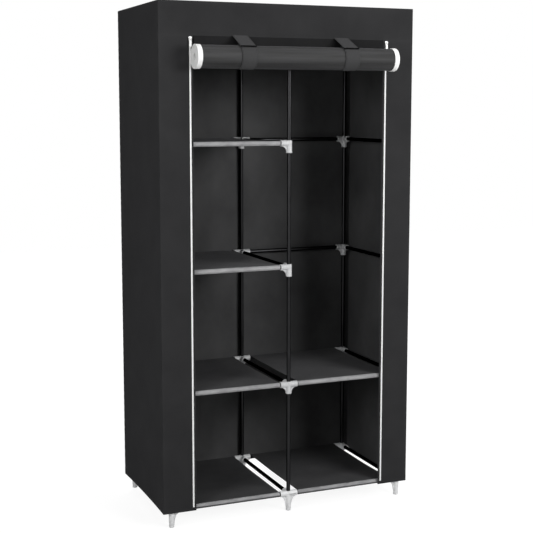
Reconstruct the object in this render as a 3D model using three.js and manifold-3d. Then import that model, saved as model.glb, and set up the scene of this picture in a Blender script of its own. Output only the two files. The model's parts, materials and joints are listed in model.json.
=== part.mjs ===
// Portable fabric wardrobe: a frame of thin steel tubes pushed into moulded connectors, cloth shelves
// sleeved onto its front and back tubes, and a zipped cloth cover whose door is rolled up and strapped.
// Millimetres, +Z up, the front faces -Y, and the origin is on the floor at the middle of the whole outline.

import * as THREE from "three";
import { mergeVertices } from "three/addons/utils/BufferGeometryUtils.js";
import Module from "manifold-3d";

const wasm = await Module();
wasm.setup();

// Cover
const coverWidth = 880;
const coverDepth = 450;
const coverHeight = 1657;
const hemHeight = 50;
const clothThickness = 1;
const headerHeight = 104;
const stileWidth = 111;

// Play in the assembly
const fitGap = 0.3;
const seamGap = 0.3;
const cutOverrun = 1;

// Tube frame: where its posts stand inside the cover, and the height of each level
const tubeRadius = 6.5;
const tubeWall = 0.6;
const sideInset = 32;
const frontInset = 15;
const footHeight = 58;
const firstStorey = 372;
const secondStorey = 390;
const thirdStorey = 401;

// Moulded connectors
const socketWall = 2.7;
const socketReach = 30;
const socketDrop = 31;
const socketFloor = 10.5;
const mouthFlare = 0.8;
const webInset = 2;
const gussetThickness = 6;
const gussetBite = 2.5;
const footTopRadius = 9.8;
const footTipRadius = 8.4;
const footSole = 6;
const footGussetDrop = 46;
const ventRadius = 3.2;

// Shelves
const sleeveCloth = 0.8;
const shelfCloth = 1;
const shelfSag = 6;
const shelfEndGap = 3;

// Hanging rail at the top of the open bay
const railClipLength = 24;
const railSocketReach = 26;

// Door, rolled up from its hem, and the straps that hold the roll
const rollCore = 9;
const rollPitch = 2.7;
const rollStandoff = 15.5;
const rollDrop = 65;
const rollEndGap = 2;
const woundZipWidth = 15;
const woundZipThickness = 1.7;
const strapSpacing = 350;
const strapWidth = 50;
const strapThickness = 1.2;
const strapLap = 8;
const tabThickness = 1.6;
const tabRise = 3;
const tabOverhang = 2;
const loopEndAngle = THREE.MathUtils.degToRad(292);

// Zips: one coil on each stile, its slider and its pull
const zipInset = 10;
const zipWidth = 7;
const zipThickness = 1.4;
const zipHemGap = 12;
const zipTopGap = 3;
const sliderWidth = 11;
const sliderWaist = 7.6;
const sliderLength = 14;
const sliderThickness = 3.4;
const bridgeWidth = 2.4;
const bridgeSpan = 9;
const bridgeRise = 4;
const bridgeThickness = 1.2;
const pullWidth = 7;
const pullLength = 26;
const pullThickness = 1.2;
const pullBarRadius = 0.8;
const pullWindowWidth = 4;
const pullWindowLength = 7;

// Facets
const tubeSides = 10;
const socketSides = 8;
const arcSteps = 4;
const sagSteps = 8;
const turnSteps = 12;

// Sizes that follow from the ones above
const socketRadius = tubeRadius + fitGap + socketWall;
const postX = coverWidth / 2 - sideInset;
const postY = coverDepth / 2 - frontInset;
const mouthRadius = socketRadius + mouthFlare;
const connectorTop = Math.max(socketRadius, mouthRadius * Math.cos(Math.PI / socketSides));
const topLevel = coverHeight - clothThickness - fitGap - connectorTop;
const levels = [
  footHeight,
  footHeight + firstStorey,
  footHeight + firstStorey + secondStorey,
  footHeight + firstStorey + secondStorey + thirdStorey,
];
const frontFace = -coverDepth / 2;
const doorwayWidth = coverWidth - 2 * stileWidth;
const rollWidth = doorwayWidth - 2 * rollEndGap;
const zipSpacing = doorwayWidth + 2 * zipInset;
const doorTop = coverHeight - headerHeight;
const tubeSetback = socketFloor + fitGap;
const woundLength = doorTop - rollDrop - hemHeight;
const rollRadius = Math.sqrt(rollCore ** 2 + (woundLength * rollPitch) / Math.PI);
const rollAxis = new THREE.Vector2(frontFace - rollStandoff - rollRadius, doorTop - rollDrop);

const columns = [
  { name: "left", x: -postX },
  { name: "centre", x: 0 },
  { name: "right", x: postX },
];
const rows = [
  { name: "front", y: -postY },
  { name: "back", y: postY },
];
// The left bay has a shelf on every level. The right bay has two, and is open above them for hanging.
const bays = [
  { name: "left", from: columns[0], to: columns[1], shelved: levels.map((height, index) => index) },
  { name: "right", from: columns[1], to: columns[2], shelved: [0, 1] },
];

const finish = (color, roughness, metalness = 0) =>
  new THREE.MeshStandardMaterial({ color, roughness, metalness });
const coverCloth = finish(0x333334, 0.9);
const shelfFabric = finish(0x303031, 0.92);
const blackTube = finish(0x1c1c1e, 0.4, 0.6);
const mouldedGrey = finish(0xb9bbbd, 0.5);
const frameGrey = finish(0x8d9092, 0.5, 0.2);
const whiteZip = finish(0xf2f2f2, 0.6);
const strapCloth = finish(0x2c2c2d, 0.9);

// Solids and meshes

function solidOf(geometry) {
  const plain = geometry.clone();
  plain.deleteAttribute("normal");
  plain.deleteAttribute("uv");
  const merged = mergeVertices(plain);
  return new wasm.Manifold(
    new wasm.Mesh({
      numProp: 3,
      vertProperties: Float32Array.from(merged.attributes.position.array),
      triVerts: Uint32Array.from(merged.index.array),
    }),
  );
}

function geometryOf(solid) {
  const mesh = solid.getMesh();
  const geometry = new THREE.BufferGeometry();
  geometry.setAttribute("position", new THREE.BufferAttribute(mesh.vertProperties, 3));
  geometry.setIndex(new THREE.BufferAttribute(mesh.triVerts, 1));
  geometry.computeVertexNormals();
  return geometry;
}

const join = (solids) => solids.reduce((whole, piece) => whole.add(piece));

// Unit turns that lay a shape drawn in XY, and the direction it is extruded in, along the wardrobe's axes
const axes = { x: new THREE.Vector3(1, 0, 0), y: new THREE.Vector3(0, 1, 0), z: new THREE.Vector3(0, 0, 1) };
const sideProfile = new THREE.Matrix4().makeBasis(axes.y, axes.z, axes.x);
const frontProfile = new THREE.Matrix4().makeBasis(axes.x, axes.z, axes.y.clone().negate());

// An arc in the shape is drawn with the number of steps given
function extrude(shape, length, turn, steps = arcSteps) {
  const options = { depth: length, bevelEnabled: false, curveSegments: steps / 2 };
  const geometry = new THREE.ExtrudeGeometry(shape, options);
  geometry.translate(0, 0, -length / 2);
  return geometry.applyMatrix4(turn);
}

// A round bar along one axis, from one place on it to another, with a facet on top and underneath
function bar(axis, from, to, radius, farRadius = radius, sides = tubeSides) {
  const length = to - from;
  const geometry = new THREE.CylinderGeometry(farRadius, radius, length, sides, 1, false, Math.PI / sides);
  geometry.translate(0, from + length / 2, 0);
  if (axis === "x") geometry.rotateZ(-Math.PI / 2);
  if (axis === "z") geometry.rotateX(Math.PI / 2);
  return solidOf(geometry);
}

// The outside of a moulded socket, which may widen from one end to the other
const moulding = (axis, from, to, radius, farRadius = radius) =>
  bar(axis, from, to, radius, farRadius, socketSides);

// A thin strip seen edge on: an outline that keeps half the thickness on each side of its middle line
function ribbon(middle, thickness) {
  const sides = middle.map((point, index) => {
    const before = middle[Math.max(index - 1, 0)];
    const after = middle[Math.min(index + 1, middle.length - 1)];
    const into = point.clone().sub(before).normalize();
    const out = after.clone().sub(point).normalize();
    const along = into.clone().add(out).normalize();
    const normal = new THREE.Vector2(-along.y, along.x);
    const spread = into.lengthSq() > 0 && out.lengthSq() > 0 ? along.dot(out) : 1;
    return normal.multiplyScalar(thickness / 2 / spread);
  });
  const upper = middle.map((point, index) => point.clone().add(sides[index]));
  const lower = middle.map((point, index) => point.clone().sub(sides[index]));
  return { upper, lower, shape: new THREE.Shape([...lower, ...upper.slice().reverse()]) };
}

const wardrobe = new THREE.Group();

function place(name, geometry, material, x = 0, y = 0, z = 0) {
  const mesh = new THREE.Mesh(geometry, material);
  mesh.name = name;
  mesh.position.set(x, y, z);
  wardrobe.add(mesh);
  return mesh;
}

// Connectors

// One arm of a connector, pointing along the X or Y axis to the side given, with the web under it.
// The web's free edge is a quarter ellipse from the arm's mouth down to the foot of the leg.
function connectorArm(axis, side, webDrop) {
  const arm =
    side > 0
      ? moulding(axis, 0, socketReach, socketRadius, mouthRadius)
      : moulding(axis, -socketReach, 0, mouthRadius, socketRadius);
  const reach = socketReach - webInset;
  const root = socketRadius - gussetBite;
  const web = new THREE.Shape();
  web.moveTo(root, -root);
  web.lineTo(root, -webDrop);
  web.lineTo(socketRadius, -webDrop);
  web.absellipse(reach, -webDrop, reach - socketRadius, webDrop - socketRadius, Math.PI, Math.PI / 2, true);
  web.lineTo(reach, -root);
  const plate = extrude(web, gussetThickness, frontProfile);
  if (side < 0) plate.rotateZ(Math.PI);
  if (axis === "y") plate.rotateZ(Math.PI / 2);
  return arm.add(solidOf(plate));
}

// The upright sleeve of a connector, flat on top
const connectorLeg = () => moulding("z", -socketDrop, socketRadius, mouthRadius, socketRadius);

// The hole that a tube is pushed into, from the arm's mouth to its floor
function armBore(axis, side) {
  const mouth = (socketReach + cutOverrun) * side;
  const floor = socketFloor * side;
  return bar(axis, Math.min(mouth, floor), Math.max(mouth, floor), tubeRadius + fitGap);
}

// The ways that a connector's arms point: along the depth on every level, and sideways where a bar is held
function armsAt(column, row, index) {
  const arms = [{ axis: "y", side: row.y < 0 ? 1 : -1 }];
  for (const bay of bays) {
    if (row.name === "front" && !bay.shelved.includes(index)) continue;
    if (bay.from === column) arms.push({ axis: "x", side: 1 });
    if (bay.to === column) arms.push({ axis: "x", side: -1 });
  }
  return arms;
}

// A connector before its hollows are cut: a flat-topped sleeve with its arms, or on the lowest level a foot
function connector(column, row, index) {
  const isFoot = index === 0;
  const drop = isFoot ? footGussetDrop : socketDrop - webInset;
  const foot = () => moulding("z", -footHeight, socketRadius, footTipRadius, footTopRadius);
  const stem = isFoot ? foot() : connectorLeg();
  const arms = armsAt(column, row, index).map(({ axis, side }) => connectorArm(axis, side, drop));
  return join([stem, ...arms]);
}

// A connector's hollows: the sleeve that its post goes through, or stands in on the lowest level,
// and the sockets of its side arms
function connectorHollow(column, row, index) {
  const low = index === 0 ? footSole - footHeight : -socketDrop - cutOverrun;
  const seat = bar("z", low, socketRadius + cutOverrun, tubeRadius + fitGap);
  const sideArms = armsAt(column, row, index).filter(({ axis }) => axis === "x");
  return join([seat, ...sideArms.map(({ axis, side }) => armBore(axis, side))]);
}

// Depth tubes: each is one piece with the connectors at its two ends, whose sockets hold the other tubes.
// The tube's bore opens into both posts' sleeves through a narrower hole.

function depthTube(column, index) {
  const along = (reach, radius) => bar("y", -reach, reach, radius);
  const ends = rows.map((row) => connector(column, row, index).translate([0, row.y, 0]));
  const hollows = rows.map((row) => connectorHollow(column, row, index).translate([0, row.y, 0]));
  const bore = along(postY - socketFloor, tubeRadius - tubeWall).add(along(postY, ventRadius));
  return join([along(postY, tubeRadius), ...ends]).subtract(join([bore, ...hollows]));
}

for (const column of columns) {
  levels.forEach((height, index) => {
    const geometry = geometryOf(depthTube(column, index));
    place(`depth_tube_${column.name}_${index}`, geometry, mouldedGrey, column.x, 0, height);
  });
}

// Plain tubes: the posts, each from the floor of its foot up into the top frame, and the cross tubes

const postFoot = footSole + fitGap;
const postTop = topLevel - tubeRadius;

// An open-ended tube along its own Y axis, from its middle
function tube(length) {
  const half = length / 2;
  const inner = tubeRadius - tubeWall;
  const wall = [
    new THREE.Vector2(inner, -half),
    new THREE.Vector2(tubeRadius, -half),
    new THREE.Vector2(tubeRadius, half),
    new THREE.Vector2(inner, half),
    new THREE.Vector2(inner, -half),
  ];
  return new THREE.LatheGeometry(wall, tubeSides, Math.PI / tubeSides);
}

const post = tube(postTop - postFoot).rotateX(Math.PI / 2);
for (const column of columns) {
  for (const row of rows) {
    place(`upright_${row.name}_${column.name}`, post, blackTube, column.x, row.y, (postFoot + postTop) / 2);
  }
}
for (const bay of bays) {
  const crossTube = tube(bay.to.x - bay.from.x - 2 * tubeSetback).rotateZ(-Math.PI / 2);
  const middle = (bay.from.x + bay.to.x) / 2;
  for (const row of rows) {
    levels.forEach((height, index) => {
      if (row.name === "front" && !bay.shelved.includes(index)) return;
      place(`${row.name}_tube_${bay.name}_${index}`, crossTube, blackTube, middle, row.y, height);
    });
  }
}

// Top frame: four cross tubes and three depth tubes in the six top connectors, whose legs cap the posts

function topConnector(column, row) {
  const arms = [{ axis: "y", side: row.y < 0 ? 1 : -1 }];
  if (column !== columns[0]) arms.push({ axis: "x", side: -1 });
  if (column !== columns[2]) arms.push({ axis: "x", side: 1 });
  const drop = socketDrop - webInset;
  const connectors = arms.map(({ axis, side }) => connectorArm(axis, side, drop));
  return join([connectorLeg(), ...connectors]).translate([column.x, row.y, 0]);
}

const acrossTop = (radius) => rows.map((row) => bar("x", -postX, postX, radius).translate([0, row.y, 0]));
const deepTop = (reach, radius) =>
  columns.map((column) => bar("y", -reach, reach, radius).translate([column.x, 0, 0]));
const corners = columns.flatMap((column) => rows.map((row) => ({ column, row })));
const topBody = join([
  ...acrossTop(tubeRadius),
  ...deepTop(postY, tubeRadius),
  ...corners.map(({ column, row }) => topConnector(column, row)),
]);
// The tubes' bores meet through a narrower hole in each connector, which opens into the socket for its post
const legBores = corners.map(({ column, row }) => {
  const seat = bar("z", -socketDrop - cutOverrun, fitGap - tubeRadius, tubeRadius + fitGap);
  const vent = bar("z", -socketDrop, -tubeWall, ventRadius);
  return seat.add(vent).translate([column.x, row.y, 0]);
});
const bore = tubeRadius - tubeWall;
const topHollow = join([
  ...acrossTop(bore),
  ...deepTop(postY - socketFloor, bore),
  ...deepTop(postY - tubeWall, ventRadius),
  ...legBores,
]);
place("top_frame", geometryOf(topBody.subtract(topHollow)), blackTube, 0, 0, topLevel);

// Hanging rail: a tube whose two end clips close round the top depth tubes of the open bay

const railBay = bays[1];
const railEnds = [
  { x: railBay.from.x, side: 1 },
  { x: railBay.to.x, side: -1 },
];
const railBody = join([
  bar("x", railBay.from.x, railBay.to.x, tubeRadius),
  ...railEnds.map(({ x, side }) => {
    const mouth = x + side * railSocketReach;
    const socket = moulding("x", Math.min(x, mouth), Math.max(x, mouth), socketRadius);
    const clip = moulding("y", -railClipLength / 2, railClipLength / 2, socketRadius);
    return clip.translate([x, 0, 0]).add(socket);
  }),
]);
const railHollow = join([
  bar("x", railBay.from.x, railBay.to.x, tubeRadius - tubeWall),
  ...railEnds.map(({ x }) => {
    const half = railClipLength / 2 + cutOverrun;
    return bar("y", -half, half, tubeRadius + fitGap).translate([x, 0, 0]);
  }),
]);
place("hanging_rail", geometryOf(railBody.subtract(railHollow)), frameGrey, 0, 0, topLevel);

// Shelves: one cloth each, sewn into a sleeve round the front tube and another round the back tube

function shelf(width) {
  const bore = tubeRadius + fitGap;
  const outer = bore + sleeveCloth;
  const joinHeight = outer - shelfCloth;
  const joinReach = Math.sqrt(outer ** 2 - joinHeight ** 2);
  const joinAngle = Math.atan2(joinHeight, joinReach);
  const sagAt = (share) => shelfSag * (1 - share ** 2);
  const inner = Array.from({ length: sagSteps + 1 }, (none, step) => 1 - (2 * step) / sagSteps);
  const profile = new THREE.Shape();
  profile.moveTo(-postY, outer);
  profile.absarc(-postY, 0, outer, Math.PI / 2, joinAngle + 2 * Math.PI, false);
  for (const share of inner.slice(1, -1)) {
    profile.lineTo(-share * (postY - joinReach), joinHeight - sagAt(share));
  }
  profile.absarc(postY, 0, outer, Math.PI - joinAngle, Math.PI / 2 + 2 * Math.PI, false);
  for (const share of inner.slice(1, -1)) profile.lineTo(share * postY, outer - sagAt(share));
  for (const row of rows) {
    const hole = new THREE.Path();
    const firstCorner = Math.PI / 2 + Math.PI / tubeSides;
    hole.absarc(row.y, 0, bore, firstCorner, firstCorner + 2 * Math.PI, false);
    profile.holes.push(hole);
  }
  return extrude(profile, width, sideProfile, tubeSides);
}

for (const bay of bays) {
  const width = bay.to.x - bay.from.x - 2 * (socketReach + shelfEndGap);
  const geometry = shelf(width);
  for (const index of bay.shelved) {
    const middle = (bay.from.x + bay.to.x) / 2;
    place(`shelf_${bay.name}_${index}`, geometry, shelfFabric, middle, 0, levels[index]);
  }
}

// Cover: a flat top, a back and two sides, and a front whose header and stiles leave the doorway open

const wallTop = coverHeight - clothThickness - seamGap;
const wallHeight = wallTop - hemHeight;
const wallMiddle = hemHeight + wallHeight / 2;
const sideDepth = coverDepth - 2 * (clothThickness + seamGap);

const topPanel = new THREE.BoxGeometry(coverWidth, coverDepth, clothThickness);
place("cover_top", topPanel, coverCloth, 0, 0, coverHeight - clothThickness / 2);
const backPanel = new THREE.BoxGeometry(coverWidth, clothThickness, wallHeight);
place("cover_back", backPanel, coverCloth, 0, (coverDepth - clothThickness) / 2, wallMiddle);
const sidePanel = new THREE.BoxGeometry(clothThickness, sideDepth, wallHeight);
for (const [name, side] of [["left", -1], ["right", 1]]) {
  place(`cover_${name}`, sidePanel, coverCloth, (side * (coverWidth - clothThickness)) / 2, 0, wallMiddle);
}

const frontOutline = new THREE.Shape();
frontOutline.moveTo(-coverWidth / 2, hemHeight);
frontOutline.lineTo(-doorwayWidth / 2, hemHeight);
frontOutline.lineTo(-doorwayWidth / 2, doorTop);
frontOutline.lineTo(doorwayWidth / 2, doorTop);
frontOutline.lineTo(doorwayWidth / 2, hemHeight);
frontOutline.lineTo(coverWidth / 2, hemHeight);
frontOutline.lineTo(coverWidth / 2, wallTop);
frontOutline.lineTo(-coverWidth / 2, wallTop);
const frontPanel = extrude(frontOutline, clothThickness, frontProfile);
place("cover_front", frontPanel, coverCloth, 0, frontFace + clothThickness / 2);

// Door: a spiral of cloth, drawn in the YZ plane as seen from the right end of the roll.
// Angles run from the back of the roll, down, under it and up its front.

const onRoll = (radius, angle) =>
  new THREE.Vector2(rollAxis.x + radius * Math.cos(angle), rollAxis.y - radius * Math.sin(angle));

// Where a straight strip from a point above the roll touches a circle round its axis, behind or over the top
function touchAngle(point, radius, overTop = false) {
  const offset = point.clone().sub(rollAxis);
  const half = Math.acos(radius / offset.length());
  return -(Math.atan2(offset.y, offset.x) + (overTop ? half : -half));
}

const hingeLine = new THREE.Vector2(frontFace + clothThickness / 2, doorTop - seamGap);
const sheetRadius = rollRadius - clothThickness / 2;
const rollStart = touchAngle(hingeLine, sheetRadius);
const turns = (rollRadius - rollCore) / rollPitch;

function spiral(thickness) {
  const outer = rollRadius - thickness / 2;
  const inner = rollCore + thickness / 2;
  const steps = Math.round(turns * turnSteps);
  const middle = Array.from({ length: steps + 1 }, (none, step) => {
    const share = step / steps;
    return onRoll(THREE.MathUtils.lerp(outer, inner, share), rollStart + 2 * Math.PI * turns * share);
  });
  return ribbon(middle, thickness);
}

// Least gap between one turn and the next, measured from the outline's points to its facets
function leastTurnGap({ upper, lower }) {
  let least = Infinity;
  const line = new THREE.Line3();
  const nearest = new THREE.Vector3();
  const flat = (point) => new THREE.Vector3(point.x, point.y, 0);
  const isUpperOutside = upper[0].distanceTo(rollAxis) > lower[0].distanceTo(rollAxis);
  const [outside, inside] = isUpperOutside ? [upper, lower] : [lower, upper];
  outside.forEach((point, index) => {
    const first = Math.max(index - turnSteps - 2, 0);
    for (let step = first; step < index - turnSteps + 2; step += 1) {
      line.set(flat(inside[step]), flat(inside[step + 1]));
      line.closestPointToPoint(flat(point), true, nearest);
      least = Math.min(least, nearest.distanceTo(flat(point)));
    }
  });
  return least;
}

const clothSpiral = spiral(clothThickness);
const zipSpiral = spiral(woundZipThickness);
console.log(`roll: ${turns.toFixed(1)} turns, ${(2 * rollRadius).toFixed(1)} mm across`);
console.log(`least gap between turns: cloth ${leastTurnGap(clothSpiral).toFixed(2)} mm`);
console.log(`least gap between turns: zip ${leastTurnGap(zipSpiral).toFixed(2)} mm`);

place("door_roll", extrude(clothSpiral.shape, rollWidth, sideProfile), coverCloth);
const woundZip = extrude(zipSpiral.shape, woundZipWidth, sideProfile);
const woundZipX = rollWidth / 2 + seamGap + woundZipWidth / 2;
place("door_zip_left", woundZip, whiteZip, -woundZipX);
place("door_zip_right", woundZip, whiteZip, woundZipX);

// The stretch of door between the header's seam and the roll
const sheetEnd = onRoll(sheetRadius, rollStart);
const sheetFoot = sheetEnd.clone().add(hingeLine.clone().sub(sheetEnd).setLength(fitGap));
const sheetStrip = ribbon([hingeLine, sheetFoot], clothThickness);
place("door_sheet", extrude(sheetStrip.shape, rollWidth, sideProfile), coverCloth);

// Straps: a loop sewn behind the header that holds the roll from behind and below,
// and a tab sewn over the seam
const loopRadius = rollRadius + fitGap + strapThickness / 2;
const loopSeamDepth = frontFace + clothThickness + fitGap + strapThickness / 2;
const loopSeam = new THREE.Vector2(loopSeamDepth, doorTop - seamGap);
const loopStart = touchAngle(loopSeam, loopRadius);
const loopSteps = Math.round(((loopEndAngle - loopStart) / (2 * Math.PI)) * turnSteps);
const loopArc = Array.from({ length: loopSteps + 1 }, (none, step) =>
  onRoll(loopRadius, THREE.MathUtils.lerp(loopStart, loopEndAngle, step / loopSteps)),
);
const loopTop = loopSeam.clone().setY(doorTop + strapLap);
const loopStrip = ribbon([loopTop, loopSeam, ...loopArc], strapThickness);
const tabRadius = loopRadius + strapThickness / 2 + fitGap + tabThickness / 2;
const tabSeam = new THREE.Vector2(frontFace - fitGap - tabThickness / 2, doorTop + tabRise);
const tabTouch = onRoll(tabRadius, touchAngle(tabSeam, tabRadius, true));
const tabRun = tabTouch.clone().sub(tabSeam);
const tabEnd = tabSeam.clone().add(tabRun.clone().setLength(tabRun.length() + tabOverhang));
const tabStrip = ribbon([tabSeam, tabEnd], tabThickness);
for (const [name, side] of [["left", -1], ["right", 1]]) {
  const x = (side * strapSpacing) / 2;
  place(`strap_loop_${name}`, extrude(loopStrip.shape, strapWidth, sideProfile), strapCloth, x);
  place(`strap_tab_${name}`, extrude(tabStrip.shape, strapWidth, sideProfile), strapCloth, x);
}

// Zips

const zipBottom = hemHeight + zipHemGap;
const zipTop = doorTop - zipTopGap;
const zipFace = frontFace - fitGap - zipThickness;
const sliderFace = zipFace - fitGap - sliderThickness;
const sliderMiddle = zipTop - sliderLength / 2;
const pullDepth = sliderFace - fitGap - pullThickness / 2 - pullBarRadius / 2;
const pullAxis = new THREE.Vector2(pullDepth, sliderMiddle);

// A slider: a shield-shaped body with an arched bridge across its face
function zipSlider() {
  const body = new THREE.Shape();
  body.moveTo(-sliderWaist / 2, -sliderLength / 2);
  body.lineTo(sliderWaist / 2, -sliderLength / 2);
  body.quadraticCurveTo(sliderWaist / 2, 0, sliderWidth / 2, sliderLength / 4);
  body.quadraticCurveTo(sliderWidth / 2, sliderLength / 2, 0, sliderLength / 2);
  body.quadraticCurveTo(-sliderWidth / 2, sliderLength / 2, -sliderWidth / 2, sliderLength / 4);
  body.quadraticCurveTo(-sliderWaist / 2, 0, -sliderWaist / 2, -sliderLength / 2);
  const bridge = new THREE.Shape();
  bridge.moveTo(cutOverrun, bridgeSpan / 2);
  bridge.lineTo(0, bridgeSpan / 2);
  bridge.absellipse(0, 0, bridgeRise, bridgeSpan / 2, Math.PI / 2, (3 * Math.PI) / 2, false);
  bridge.lineTo(cutOverrun, -bridgeSpan / 2);
  bridge.lineTo(cutOverrun, bridgeThickness - bridgeSpan / 2);
  bridge.lineTo(0, bridgeThickness - bridgeSpan / 2);
  const innerRise = bridgeRise - bridgeThickness;
  const innerHalf = bridgeSpan / 2 - bridgeThickness;
  bridge.absellipse(0, 0, innerRise, innerHalf, (3 * Math.PI) / 2, Math.PI / 2, true);
  bridge.lineTo(cutOverrun, innerHalf);
  const plate = solidOf(extrude(body, sliderThickness, frontProfile));
  const arch = solidOf(extrude(bridge, bridgeWidth, sideProfile));
  return geometryOf(plate.add(arch.translate([0, -sliderThickness / 2, 0])));
}

// A pull: a flat tag with a window near its top, whose cross bar lies under the slider's bridge
function zipPull() {
  const half = pullWidth / 2;
  const tag = new THREE.Shape();
  tag.moveTo(-half, 0);
  tag.lineTo(-half, half - pullLength);
  tag.absarc(0, half - pullLength, half, Math.PI, 2 * Math.PI, false);
  tag.lineTo(half, 0);
  const window = new THREE.Path();
  window.moveTo(-pullWindowWidth / 2, -pullBarRadius);
  window.lineTo(-pullWindowWidth / 2, -pullWindowLength);
  window.lineTo(pullWindowWidth / 2, -pullWindowLength);
  window.lineTo(pullWindowWidth / 2, -pullBarRadius);
  tag.holes.push(window);
  const crossBar = bar("x", -half, half, pullBarRadius);
  return geometryOf(solidOf(extrude(tag, pullThickness, frontProfile)).add(crossBar));
}

const zipTape = new THREE.BoxGeometry(zipWidth, zipThickness, zipTop - zipBottom);
const slider = zipSlider();
const pull = zipPull();
for (const [name, side] of [["left", -1], ["right", 1]]) {
  const x = (side * zipSpacing) / 2;
  place(`zip_tape_${name}`, zipTape, whiteZip, x, zipFace + zipThickness / 2, (zipTop + zipBottom) / 2);
  place(`zip_slider_${name}`, slider, whiteZip, x, sliderFace + sliderThickness / 2, sliderMiddle);
  place(`zip_pull_${name}`, pull, whiteZip, x, pullAxis.x, pullAxis.y);
}

// The pieces are placed from the middle of the cover, and the roll stands out in front of it,
// so the whole moves back until the middle of its outline is over the origin
const outline = new THREE.Box3().setFromObject(wardrobe);
wardrobe.position.y = -(outline.min.y + outline.max.y) / 2;

export default wardrobe;
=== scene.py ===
# Portable fabric wardrobe: a cloth cover with its door rolled up, over a frame of tubes and connectors

# %% [markdown]
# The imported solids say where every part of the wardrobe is, so the scene starts from them.
# Blender then makes what the eye sees: cloth with hems and stitches, round tubes with a shine,
# and moulded connectors. Each new piece rides on the rigid body that its solid belongs to.

import json
import math

import bmesh
import bpy
import numpy as np
from mathutils import Matrix, Vector


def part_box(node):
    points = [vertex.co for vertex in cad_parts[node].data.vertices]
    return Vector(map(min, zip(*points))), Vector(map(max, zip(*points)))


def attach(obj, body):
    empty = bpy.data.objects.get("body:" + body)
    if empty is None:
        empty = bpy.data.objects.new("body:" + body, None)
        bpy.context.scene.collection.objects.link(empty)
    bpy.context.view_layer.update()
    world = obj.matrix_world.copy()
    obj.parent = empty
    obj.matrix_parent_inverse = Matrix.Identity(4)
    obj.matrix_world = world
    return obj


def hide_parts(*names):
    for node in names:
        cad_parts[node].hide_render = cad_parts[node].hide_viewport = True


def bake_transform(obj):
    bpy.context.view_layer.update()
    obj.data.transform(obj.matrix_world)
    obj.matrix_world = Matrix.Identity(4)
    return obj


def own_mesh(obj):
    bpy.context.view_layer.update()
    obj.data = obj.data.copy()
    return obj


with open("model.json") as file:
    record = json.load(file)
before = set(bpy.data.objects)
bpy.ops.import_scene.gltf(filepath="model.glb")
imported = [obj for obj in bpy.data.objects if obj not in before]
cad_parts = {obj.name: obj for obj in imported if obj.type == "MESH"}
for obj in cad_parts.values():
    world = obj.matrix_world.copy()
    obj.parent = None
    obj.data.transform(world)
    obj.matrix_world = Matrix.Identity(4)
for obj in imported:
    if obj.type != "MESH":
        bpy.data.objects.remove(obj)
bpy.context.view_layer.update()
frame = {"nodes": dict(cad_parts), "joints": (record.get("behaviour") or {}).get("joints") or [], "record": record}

# %% [markdown]
# The frame gives the main places: the cover's faces, the height of each level, the posts above
# their feet, and the doorway's top. Small sizes that no solid states, such as the pitch of a
# zip's coil, are named in the cell that uses them.

# %% Measure the frame
MM = 0.001
ROOT = "wardrobe"
SIDES = {"left": -1, "right": 1}

COVER_LOW, COVER_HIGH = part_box("cover_top")
FRONT, BACK = COVER_LOW.y, COVER_HIGH.y
HALF_WIDTH, TOP = COVER_HIGH.x, COVER_HIGH.z
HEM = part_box("cover_front")[0].z
DOOR_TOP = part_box("door_sheet")[1].z

POSTS = {m["name"].removeprefix("foot_"): Vector(m["pos_m"]) for m in frame["record"]["mounts"]}
LEVELS = [sum(corner.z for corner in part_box(f"back_tube_left_{i}")) / 2 for i in range(4)]
TOP_LEVEL = sum(corner.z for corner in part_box("hanging_rail")) / 2
TUBE_LOW, TUBE_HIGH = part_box("back_tube_left_0")
TUBE_RADIUS = (TUBE_HIGH.y - TUBE_LOW.y) / 2
print("levels at", [round(z, 3) for z in LEVELS], "and", round(TOP_LEVEL, 3))

# %% [markdown]
# ## Finishes
# A finish is a small network of shader nodes. Sums on sockets read best as sums, so one class
# wraps a socket and lends it the arithmetic signs, and one method adds any other kind of node.

# %% A socket that can be added and multiplied
class Wire:
    """A node's output, which plus, minus and times turn into Math nodes."""

    def __init__(self, finish, socket):
        self.finish, self.socket = finish, socket

    def _math(self, operation, first, second=None):
        values = {0: first} if second is None else {0: first, 1: second}
        return self.finish.node("ShaderNodeMath", {"operation": operation}, values)

    def __add__(self, other):
        return self._math("ADD", self, other)

    def __sub__(self, other):
        return self._math("SUBTRACT", self, other)

    def __mul__(self, other):
        return self._math("MULTIPLY", self, other)

    def sine(self):
        return self._math("SINE", self)


# %% [markdown]
# Every finish of the wardrobe ends in one Principled shader. What varies goes to its colour, its
# roughness and, through a Bump node, its normal. Everything constant is typed onto a socket.

# %% The finish class
CUT = "cut"


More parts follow.
